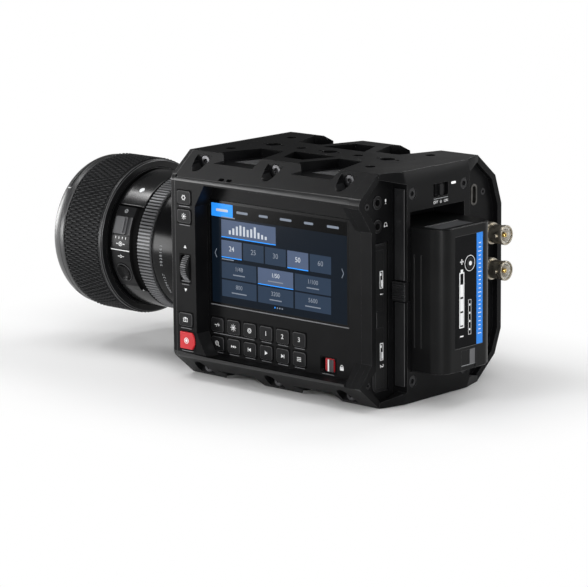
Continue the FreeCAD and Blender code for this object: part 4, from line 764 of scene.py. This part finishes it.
def word(text, u, v, height, wide=1.0, degrees=0):
    # numbers and switch words only
    deselectAll()
    bpy.ops.object.text_add(location=(0, 0, 0))
    o = bpy.context.object
    o.data.body = text
    o.data.size = height * mm * lettering["size"]
    o.data.align_x = "CENTER"
    o.data.align_y = "CENTER"
    o.data.resolution_u = 3
    o.data.offset = lettering["weight"] * height * mm
    bpy.ops.object.convert(target="MESH")
    o = bpy.context.object
    o.scale = (wide, 1, 1)
    o.location = (u * mm, v * mm, 0)
    o.rotation_euler = (0, 0, math.radians(degrees))
    return settle(o)


def printed(name, shapes, face, origin, material=whitePaint, body="housing", slot="light_white", thick=0.04):
    obj = joined(shapes, name)
    solid = obj.modifiers.new("thick", "SOLIDIFY")
    solid.thickness = thick * mm
    solid.offset = 1
    applyAll(obj)
    obj.data.materials.clear()
    obj.data.materials.append(material)
    obj.matrix_world = faceMatrix(face, origin)
    settle(obj)
    if body:
        fitted(obj, body, slot)
    return obj


def onLens(name, shapes, radius, ahead, degrees, material=whitePaint, body="lens", slot="light_white",
           thick=0.04):
    # u runs along the lens toward the mount, v runs round it upward
    place = (radius, lens["flangeY"] - ahead, lens["axisZ"])
    obj = printed(name, shapes, "side", place, material, None, thick=thick)
    aboutLens(obj, degrees)
    fitted(obj, body, slot)


# marks of the lens: a plain badge, the switch's ticks, a line, numbers round the barrel
panelLine = sectorBlock(35.5, 35.65, 45.3, 58.4, -2.45, -1.75, 2)
panelLine.name = "panelLine"
fitted(panelLine, "lens", "light_white", whitePaint)
onLens("lensBadge", [disc(0, 0, 1.5, 32)], 35.55, 48.8, 52.3, silverBadge, "lens", "lens_black", 0.25)
onLens("focusSign", [ring(0, 0, 1.1, 0.25), bar(0, 0, 0.3, 1.3, -40)], 35.6, 51.6, 31.0, greyPrint)
onLens("switchTicks", [bar(-3.6 + k * 2.4, 0, 0.35, 1.2) for k in range(4)], 35.6, 51.6, 8.2)
focusMarks = [ring(0, 0, 1.2, 0.3), disc(0, 0, 0.45), bar(-2.4, 0, 1.4, 0.35), bar(2.4, 0, 1.4, 0.35)]
onLens("focusMarks", focusMarks, 35.6, 51.6, 3.2)
onLens("holdMarks", [ring(0, 0, 0.8, 0.25), bar(-1.7, 0, 1.0, 0.3), bar(1.7, 0, 1.0, 0.3)], 35.6, 51.6, -7.4)
onLens("switchLine", [bar(0, 0, 0.45, 3.6)], 35.75, 50.6, 15.6, body="focus_mode")
barrelRows = (("barrelNumber", "3618205", 6.6, 2.7), ("barrelCode", "72148064", -18.5, 2.6))
for name, digits, first, step in barrelRows:
    for k, digit in enumerate(digits):
        mark = word(digit, 0, 0, 1.7, degrees=90)
        onLens(name + str(k), [mark], 34.86, 23.2, first - step * k, greyPrint)
print("lens marks made")


# Screen: an active area with generic tiles, bars and numbers
screen = {"y": 3.6, "z": 64.3, "wide": 88.6, "tall": 49.8, "face": 42.2}


def onScreen(name, shapes, lift, material):
    place = (screen["face"] + lift, screen["y"], screen["z"])
    printed(name, shapes, "side", place, material, slot="screen", thick=0.02)


onScreen("screenField", [bar(0, 0, screen["wide"], screen["tall"])], 0.005, screenNavy)
onScreen("screenTopBar", [bar(7.2, 21.6, 74.2, 6.6)], 0.03, screenBar)
onScreen("screenTab", [bar(-37.1, 21.6, 14.4, 6.6)], 0.03, screenBlue)
tiles, picked, lines, words, bright = [], [], [], [], []
# a wide tile with a level bar, then a row of five and a row of three
picked.append(bar(-19.6, 12.9, 36.2, 8.6))
lines.append(bar(-19.6, 8.5, 36.2, 0.5))
levels = [2.0, 3.2, 4.4, 5.2, 4.8, 3.6, 4.2, 5.4, 3.0, 2.2, 1.6]
for k, level in enumerate(levels):
    bright.append(bar(-32.0 + k * 2.4, 10.2 + level / 2, 1.3, level))
for k in range(5):
    u = -31.0 + k * 14.6
    chosen = k in (0, 3)
    (picked if chosen else tiles).append(bar(u, 2.6, 13.6, 8.6))
    if chosen:
        lines.append(bar(u, -1.6, 13.6, 0.5))
    (bright if chosen else words).append(word(["24", "25", "30", "50", "60"][k], u, 2.8, 2.6))
rows = [("1/48", "1/50", "1/100"), ("800", "3200", "5600")]
for row in range(2):
    for column in range(3):
        u = -26.2 + column * 24.3
        v = -8.0 - row * 9.1
        chosen = row == 0 and column == 1
        (picked if chosen else tiles).append(bar(u, v, 23.2, 8.3))
        if chosen:
            lines.append(bar(u, v - 4.0, 23.2, 0.45))
        (bright if chosen else words).append(word(rows[row][column], u, v + 1.1, 2.2))
        words.append(bar(u, v - 1.9, 8.0 + 2.0 * ((row + column) % 2), 0.55))
for k, u in enumerate([-23.6, -9.5, 5.2, 20.0, 35.5]):
    words.append(roundBar(u, 21.6, 7.5 - (k % 2) * 1.6, 1.2, 0.5))
bright.append(roundBar(-37.1, 21.6, 8.0, 1.3, 0.5))
words.append(bar(-33.0, 18.4, 9.0, 0.5))
words.append(bar(-33.6, -2.6, 8.0, 0.5))
for k in range(4):
    (lines if k == 0 else words).append(disc(-2.4 + k * 1.6, -22.6, 0.42, 16))
for side in (-1, 1):
    words.append(bar(side * 41.6, 1.0, 0.35, 2.6, side * 28))
    words.append(bar(side * 41.6, -1.2, 0.35, 2.6, side * -28))
onScreen("screenTiles", tiles, 0.03, screenTile)
onScreen("screenTilesPicked", picked, 0.03, screenPicked)
onScreen("screenLines", lines, 0.055, screenBlue)
onScreen("screenWords", words, 0.055, screenText)
onScreen("screenBrightWords", bright, 0.055, screenBright)
# light grey strip along the bottom of the screen, a painted highlight on its lower edge
lip = blockAt((0.5, 90.6, 0.5), (42.35, screen["y"] + 0.1, 38.1), 0.12, 2)
lip.name = "screenLip"
fitted(lip, "housing", "housing_black", ledgeGrey)
print("screen made")

# Seats round the keys, with light grey ledges under them as painted highlights
keypad = {"firstY": -37.15, "pitchY": 10.9, "topZ": 28.0, "pitchZ": 9.6, "across": 6}
recessFace, sideFace = 42.4, 51.2
keyTop = 0.6
edgeY = -50.5
seams, ledgeHighlights = [], []


def padPlace(k):
    row, column = divmod(k, keypad["across"])
    return keypad["firstY"] + column * keypad["pitchY"], keypad["topZ"] - row * keypad["pitchZ"]


def seat(x, y, z, wide, tall, line, highlightWide, highlightDown=0.55):
    # a dark gap round a key and a light grey ledge under it, a painted highlight on the well's lower lip
    gap = frameOf(0, 0, wide + 2 * line, tall + 2 * line, line)
    seams.append(printed("seam", [gap], "side", (x, y, z), seamBlack, None, thick=0.03))
    if highlightWide:
        place = (x + 0.06, y, z - tall / 2 - line - highlightDown)
        ledgeHighlights.append(blockAt((0.16, highlightWide, 0.34), place, 0.05, 1))


for k in range(len(padKeys)):
    # the first three keys share one long painted highlight ledge
    seat(recessFace, *padPlace(k), 8.3, 7.2, 0.55, 0 if k < 3 else 6.6, 0.25)
sharedY, sharedZ = padPlace(1)
ledgeHighlights.append(blockAt((0.16, 27.5, 0.34), (recessFace + 0.06, sharedY, sharedZ - 4.4), 0.05, 1))
edgePlace = {"settings_key": (edgeY, 91.7), "assist_key": (edgeY, 82.3), "still_key": (edgeY, 30.2)}
for place in edgePlace.values():
    seat(sideFace, *place, 9.1, 6.8, 0.5, 7.2)
edgePlace["record_key"] = (-49.8, 19.6)
seat(sideFace, *edgePlace["record_key"], 10.1, 8.7, 0.4, 7.6)
# the thumb wheel's window
seat(sideFace, edgeY, 56.0, 6.6, 13.6, 0.7, 4.8)
ledgeHighlights.append(blockAt((0.7, 5.4, 0.5), (sideFace - 0.35, edgeY, 49.55), 0.1, 1))
# the lock's window
seat(recessFace, 35.75, 18.2, 9.5, 7.1, 0.5, 7.4)
fitted(joined(seams, "keySeams"), "housing", "housing_black")
fitted(joined(ledgeHighlights, "keyLedges"), "housing", "housing_black", ledgeGrey)

# Key marks
keyPlace = {key: (recessFace + keyTop, *padPlace(k)) for k, key in enumerate(padKeys)}
for key, place in edgePlace.items():
    keyPlace[key] = (sideFace + keyTop, *place)


def keyMark(key, shapes):
    name = key.split("_")[0] + "Mark"
    printed(name, shapes, "side", keyPlace[key], body=key + "_cap", thick=0.03)


def rays(count, out, wide, tall, lean=0):
    # short bars set round a middle
    turns = [k * 2 * math.pi / count for k in range(count)]
    return [bar(out * math.cos(a), out * math.sin(a), wide, tall, math.degrees(a) + lean) for a in turns]


keyMark("iso_key", [bar(-1.0, 0, 1.3, 0.32), bar(1.0, 0, 1.3, 0.32), bar(1.0, 0, 0.32, 1.3),
                    bar(0, 0, 0.2, 2.2, -30)])
keyMark("balance_key", [ring(0, 0, 1.15, 0.25), disc(0, 0, 0.55)] + rays(8, 1.65, 0.5, 0.22))
keyMark("shutter_key", [ring(0, 0, 1.3, 0.28)] + rays(6, 0.62, 1.2, 0.22, 55))
for key, digit in (("one_key", "1"), ("two_key", "2"), ("three_key", "3")):
    keyMark(key, [word(digit, 0, 0, 2.4)])
keyMark("zoom_key", [ring(-0.3, 0.3, 1.15, 0.28), bar(0.85, -0.85, 1.2, 0.36, -45), bar(-0.3, 0.3, 1.1, 0.24),
                     bar(-0.3, 0.3, 0.24, 1.1)])
keyMark("speed_key", [triangle(u, 0, 0.75, -90) for u in (-1.2, 0, 1.2)])
keyMark("back_key", [bar(-1.05, 0, 0.34, 1.9), triangle(0.25, 0, 1.1, 90)])
keyMark("play_key", [triangle(-0.1, 0, 1.25, -90)])
keyMark("next_key", [bar(1.05, 0, 0.34, 1.9), triangle(-0.25, 0, 1.1, -90)])
keyMark("menu_key", [bar(0, v, 2.6, 0.34) for v in (0.8, 0, -0.8)])
keyMark("settings_key", [ring(0, 0, 1.15, 0.45)] + rays(6, 1.15, 0.6, 0.5))
keyMark("assist_key", [disc(0, 0, 0.6)] + rays(8, 1.25, 0.7, 0.3))
keyMark("still_key", [frameOf(0, -0.1, 3.0, 2.0, 0.28), ring(0, -0.1, 0.62, 0.22), bar(0, 1.05, 1.2, 0.4)])
keyMark("record_key", [ring(-0.3, 0, 1.5, 0.35), disc(-0.3, 0, 0.75)])
wheelArrows = [triangle(0, 66.8, 1.05, 0), triangle(0, 45.4, 1.05, 180)]
printed("wheelArrows", wheelArrows, "side", (sideFace, edgeY, 0))
lockSign = [roundBar(0, -0.5, 2.3, 1.8, 0.3), ring(0, 0.5, 0.85, 0.26)]
printed("lockSign", lockSign, "side", (recessFace, 44.4, 18.1))
printed("lockBar", [bar(0, 0, 1.0, 5.9)], "side", (42.9, 36.4, 18.2), body="lock", thick=0.12)
lockRibs = [blockAt((0.7, 0.7, 6.0), (43.05, 37.4 + k * 0.95, 18.2), 0.16, 2) for k in range(3)]
fitted(joined(lockRibs, "lockGrip"), "lock", "key_black", switchGrey)
print("key marks made")

# Rear: words at the power switch, signs beside the jacks, numbers on the door
rearFace = {"block": 69.4, "panel": 60.4, "door": 61.06, "battery": 88.4}
powerWords = [word("OFF", -3.9, 0, 1.5, 0.95), word("ON", 3.9, 0, 1.5, 0.95), ring(0, -0.05, 0.62, 0.2),
              bar(0, 0.5, 0.2, 0.8)]
printed("powerWords", powerWords, "rear", (-1.6, rearFace["block"], 95.7))
printed("powerLine", [bar(0, 0, 10.6, 0.3)], "rear", (-1.6, rearFace["block"], 97.4), greyPrint)
microphoneSign = [roundBar(0, 0.35, 0.8, 1.5, 0.38), bar(0, -0.9, 0.25, 0.7), bar(0, -1.2, 1.0, 0.22)]
printed("microphoneSign", microphoneSign, "rear", (28.6, rearFace["panel"], 98.9))
headphoneSign = [ring(0, 0.2, 1.0, 0.22), roundBar(-0.95, -0.5, 0.5, 1.0, 0.2),
                 roundBar(0.95, -0.5, 0.5, 1.0, 0.2)]
printed("headphoneSign", headphoneSign, "rear", (28.6, rearFace["panel"], 87.5))
cards = []
for v, digit in ((17.5, "1"), (-17.5, "2")):
    # a number and a small picture of the card
    cards += [word(digit, 0, v - 6.0, 2.6, degrees=-90), frameOf(0, v + 1.0, 2.4, 8.4, 0.35),
              bar(-0.4, v + 3.6, 0.9, 1.2), bar(0.3, v - 0.8, 0.9, 3.2)]
printed("doorNumbers", cards, "rear", (32.6, rearFace["door"], 43.2), body="card_door")

# rail along the battery block's side wall, in two lengths beside the release, lighter than the body paint as
# painted light on the wall
rail = joined([blockAt((0.7, 6.0, 41.0), (23.85, 65.2, 29.4), 0.2, 2),
               blockAt((0.7, 6.0, 44.0), (23.85, 65.2, 82.7), 0.2, 2)], "blockRail")
fitted(rail, "housing", "housing_black", railPaint, paintEdge)
smallFace = {"rail": 9e-6, "plates": 3e-6}
for poly in rail.data.polygons:
    poly.material_index = 1 if poly.area < smallFace["rail"] else 0
# raised plates of the media door
plateAt = {"x": 34.1, "wide": 6.4, "thick": 0.4}
plateBlocks = [blockAt((plateAt["wide"], plateAt["thick"], tall), (plateAt["x"], y, z), 0.12, 2)
               for tall, y, z in ((29.4, 60.82, 61.4), (29.4, 60.82, 23.8), (0.8, 60.85, 78.4))]
plates = joined(plateBlocks, "doorPlates")
fitted(plates, "card_door", "jack_black", doorPlastic, keyEdge)
for poly in plates.data.polygons:
    poly.material_index = 1 if poly.area < smallFace["plates"] else 0

# Battery: label field, stripe with a plain scale, level marks


def onBattery(name, shapes, x, z, lift, material=whitePaint, slot="light_white", thick=0.04, body="battery"):
    printed(name, shapes, "rear", (x, rearFace["battery"] + lift, z), material, body, slot, thick)


onBattery("batteryField", [bar(0, 0, 20.6, 54.0)], 0.25, 54.95, -0.2, batteryLabel, "battery_grey", 0.03)
onBattery("batteryStripe", [bar(0, 0, 4.7, 54.2)], -7.9, 54.95, -0.18, batteryBlue, "battery_grey", 0.05)
scale = [bar(0, -22 + k * 2.0, 1.6 if k % 5 else 2.4, 0.4) for k in range(23)]
onBattery("batteryScale", scale, -7.9, 54.95, -0.12, thick=0.02)
levelMarks = [ring(0, 0, 3.9, 0.3)] + [disc(0, -20.2 - k * 4, 0.55) for k in range(4)]
onBattery("batteryMarks", levelMarks + [frameOf(0, -26.2, 2.2, 17.0, 0.18)], -0.4, 68.2, -0.14)
onBattery("batteryCheckDot", [disc(0, 0, 1.1)], -0.4, 68.2, 0.2, thick=0.03, body="battery_check")
batterySign = [frameOf(0, 0, 3.6, 27.0, 0.6), bar(0, 14.2, 1.8, 1.4)]
batterySign += [bar(0, v, 2.1, 6.0) for v in (-9.2, -2.3, 4.6)]
batterySign += [bar(0, 18.6, 2.6, 0.6), bar(0, 18.6, 0.6, 2.6), bar(0, -17.6, 2.6, 0.6)]
onBattery("batterySign", batterySign, 5.6, 51.0, -0.18)
onBattery("batteryLatchMark", [frameOf(0, 0, 10.9, 7.9, 0.25)], 0.45, 22.5, -0.5, greyPrint, "battery_grey",
          0.05)
onBattery("batteryLatchTab", [bar(0, 0, 4.2, 7.6)], -3.0, 22.5, -0.5, ringMetal, "battery_grey", 0.08)
printed("batteryTopPatch", [bar(0, 0, 10.2, 24.4)], "top", (4.9, 80.2, 86.4), patchGrey, "battery",
        "battery_grey", 0.06)
print("rear marks made")


# Turned pieces of the housing: thumb wheel and coaxial sockets

def turnedAlongY(name, x, z, outline, steps, material):
    # closed at both ends; the outline is (radius, y)
    obj = turned(x, z, outline, steps)
    closeHoles()
    bpy.ops.mesh.select_all(action="SELECT")
    bpy.ops.mesh.normals_make_consistent(inside=False)
    objectMode()
    obj.name = name
    obj.data.materials.append(material)
    return obj


# thumb wheel: turned with a crowned rim and fine ribs, the ribs light grey as painted highlights on their
# crests
wheelAt = {"x": 45.7, "z": 56.0, "ribRadius": 7.42, "ribs": 44}
wheelOutline = [(2.0, -52.9), (6.3, -52.9), (6.9, -52.6), (7.3, -52.0), (7.35, -50.5), (7.3, -49.0),
                (6.9, -48.4), (6.3, -48.1), (2.0, -48.1)]
wheelBody = turnedAlongY("wheelBody", wheelAt["x"], wheelAt["z"], wheelOutline, 72, keyRubber)
ribPlace = (wheelAt["x"] + wheelAt["ribRadius"], edgeY, wheelAt["z"])
wheelRib = blockAt((0.6, 3.6, 0.46), ribPlace, 0.12, 1)
wheelRib.data.materials.append(ledgeGrey)
editMode(wheelRib, "VERT")
bpy.ops.mesh.spin(steps=wheelAt["ribs"], dupli=True, angle=math.radians(360),
                  center=(wheelAt["x"] * mm, 0, wheelAt["z"] * mm), axis=(0, 1, 0))
objectMode()
thumbWheel = joined([wheelBody, wheelRib], "thumbWheel")
smoothed(thumbWheel, 35)
fitted(thumbWheel, "wheel", "key_black")
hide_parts("thumb_wheel")

socket = {"x": -46.3, "panel": 60.4, "mouth": 74.6, "rows": {"Upper": 73.4, "Lower": 55.6}}
shells, cores, inserts = [], [], []
for row, z in socket["rows"].items():
    x, p, m = socket["x"], socket["panel"], socket["mouth"]
    tube = [(5.4, p), (5.6, p + 0.3), (5.6, p + 5.0), (5.4, p + 5.4), (4.7, p + 5.4), (4.7, m - 2.2),
            (4.95, m - 2.0), (4.95, m - 0.4), (4.7, m), (4.25, m), (4.05, m - 0.3), (4.05, m - 7.3),
            (0.5, m - 7.3)]
    shell = turnedAlongY("socketShell" + row, x, z, tube, 56, nickel)
    for side in (-1, 1):
        deselectAll()
        lugPlace = ((x + side * 5.2) * mm, (m - 2.97) * mm, z * mm)
        bpy.ops.mesh.primitive_cylinder_add(vertices=24, radius=0.95 * mm, depth=1.7 * mm, location=lugPlace,
                                            rotation=(0, math.radians(90), 0))
        lug = settle(bpy.context.object)
        editMode(lug, "EDGE")
        bpy.ops.mesh.bevel(offset=0.12 * mm, segments=1, affect="EDGES")
        objectMode()
        lug.data.materials.append(nickel)
        shell = joined([shell, lug], shell.name)
    shells.append(shell)
    # pale grey lining of the bore with the gilt contact in its middle: the insulator's own pale colour,
    # carried up the bore's walls as painted light in place of their shade
    lining = [(4.0, m - 7.2), (4.0, m - 0.9), (3.4, m - 0.8), (3.4, m - 6.6), (2.3, m - 6.6), (2.3, m - 5.6),
              (1.3, m - 5.6), (1.3, m - 7.2)]
    inserts.append(turnedAlongY("socketInsert" + row, x, z, lining, 40, boreGrey))
    contact = [(1.15, m - 7.3), (1.15, m - 1.0), (0.9, m - 0.75), (0.5, m - 0.75), (0.5, m - 3.5),
               (0.1, m - 3.5)]
    cores.append(turnedAlongY("socketPin" + row, x, z, contact, 24, gold))
for group, name, slot in ((shells, "videoSockets", "nickel"), (inserts, "socketInserts", "nickel"),
                          (cores, "socketPins", "contact_gold")):
    piece = joined(group, name)
    smoothed(piece, 35)
    fitted(piece, "housing", slot)
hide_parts("bnc_sockets")
print("sockets made")


# Camera, floor and light

viewpoint = {"place": (1.07394, 0.95090, 0.33750), "azimuth": 132.25, "elevation": 11.64, "roll": -0.545,
             "lens": 180.32}


def addCamera():
    a, e, roll = (math.radians(viewpoint[k]) for k in ("azimuth", "elevation", "roll"))
    back = Vector((math.sin(a) * math.cos(e), -math.cos(a) * math.cos(e), math.sin(e)))
    right = Vector((0, 0, 1)).cross(back).normalized()
    up = back.cross(right)
    turned = math.cos(roll) * right + math.sin(roll) * up
    up = -math.sin(roll) * right + math.cos(roll) * up
    pose = Matrix((turned, up, back)).transposed().to_4x4()
    pose.translation = Vector(viewpoint["place"])
    bpy.ops.object.camera_add()
    camera = bpy.context.object
    camera.matrix_world = pose
    camera.data.lens = viewpoint["lens"]
    camera.data.sensor_width = 36
    camera.data.clip_start = 0.05
    camera.data.clip_end = 50
    scene.camera = camera


# the floor turns to plain white between two distances from the object's own footprint
floorFade = {"middle": (0.0, -0.045, 0.0), "half": (0.05, 0.11, 1.0), "near": 0.02, "far": 0.11}


def addFloor():
    deselectAll()
    bpy.ops.mesh.primitive_circle_add(vertices=96, radius=6, fill_type="NGON", location=(0, 0, -0.0003))
    floor = settle(bpy.context.object)
    floor.name = "floor"
    m, tree, shader = newMaterial("floorWhite")
    place = objectCoords(tree)
    # distance outside the footprint
    size = place
    steps = (("SUBTRACT", floorFade["middle"]), ("ABSOLUTE", None), ("SUBTRACT", floorFade["half"]),
             ("MAXIMUM", (0.0, 0.0, 0.0)), ("LENGTH", None))
    for operation, constant in steps:
        step = tree.nodes.new("ShaderNodeVectorMath")
        step.operation = operation
        tree.links.new(size, step.inputs[0])
        if constant:
            step.inputs[1].default_value = constant
        size = step.outputs["Value" if operation == "LENGTH" else "Vector"]
    fade = tree.nodes.new("ShaderNodeMapRange")
    fade.interpolation_type = "SMOOTHSTEP"
    setInputs(fade, {"From Min": floorFade["near"], "From Max": floorFade["far"]})
    tree.links.new(size, fade.inputs["Value"])
    path = tree.nodes.new("ShaderNodeLightPath").outputs
    share = path["Is Camera Ray"]
    for operation, other in (("MAXIMUM", path["Is Glossy Ray"]), ("MAXIMUM", path["Is Transmission Ray"]),
                             ("MULTIPLY", fade.outputs["Result"])):
        step = tree.nodes.new("ShaderNodeMath")
        step.operation = operation
        tree.links.new(share, step.inputs[0])
        tree.links.new(other, step.inputs[1])
        share = step.outputs[0]
    white = tree.nodes.new("ShaderNodeEmission")
    mix = tree.nodes.new("ShaderNodeMixShader")
    setInputs(shader, {"Base Color": (0.9, 0.9, 0.9, 1), "Roughness": 0.8, "Specular IOR Level": 0.1})
    out = tree.nodes["Material Output"]
    tree.links.new(share, mix.inputs[0])
    tree.links.new(shader.outputs[0], mix.inputs[1])
    tree.links.new(white.outputs[0], mix.inputs[2])
    tree.links.new(mix.outputs[0], out.inputs["Surface"])
    floor.data.materials.append(m)


def addWorld(strength):
    # plain and dim; the wide pale floor is the background
    world = bpy.data.worlds.new("studio")
    scene.world = world
    world.use_nodes = True
    setInputs(world.node_tree.nodes["Background"], {"Color": (1, 1, 1, 1), "Strength": strength})


# direction (azimuth, elevation), distance, size and power of the soft boxes
lamps = {
    "frontHigh": (284, 48, 0.72, 0.16, 0.9),
    "frontLow": (276, 6, 0.9, 0.3, 2.6),
    "sideNear": (315, 2, 0.48, 0.14, 0.7),
    "sideHigh": (345, 20, 0.9, 0.2, 1.6),
    "viewFill": (50, 34, 0.9, 0.4, 2.1),
    "cornerLow": (56, 4, 0.9, 0.16, 3.0),
    "leftRear": (140, 20, 0.9, 0.3, 2.4),
    "crestHigh": (172, 42, 0.9, 0.22, 1.2),
    "leftFar": (208, 12, 0.9, 0.3, 0.12),
    "overhead": (0, 84, 1.1, 0.7, 4.2),
}


def addLamps():
    aim = Vector((0, -0.03, 0.06))
    for name, (azimuth, elevation, distance, size, power) in lamps.items():
        a, e = math.radians(azimuth), math.radians(elevation)
        away = Vector((math.cos(a) * math.cos(e), math.sin(a) * math.cos(e), math.sin(e)))
        bpy.ops.object.light_add(type="AREA", location=aim + away * distance)
        lamp = bpy.context.object
        lamp.name = name
        lamp.data.size = size
        lamp.data.energy = power
        lamp.rotation_euler = (-away).to_track_quat("-Z", "Y").to_euler()


deselectAll()
addCamera()
addFloor()
addWorld(0.08)
addLamps()
scene.view_settings.view_transform = "Standard"
print("stage set")
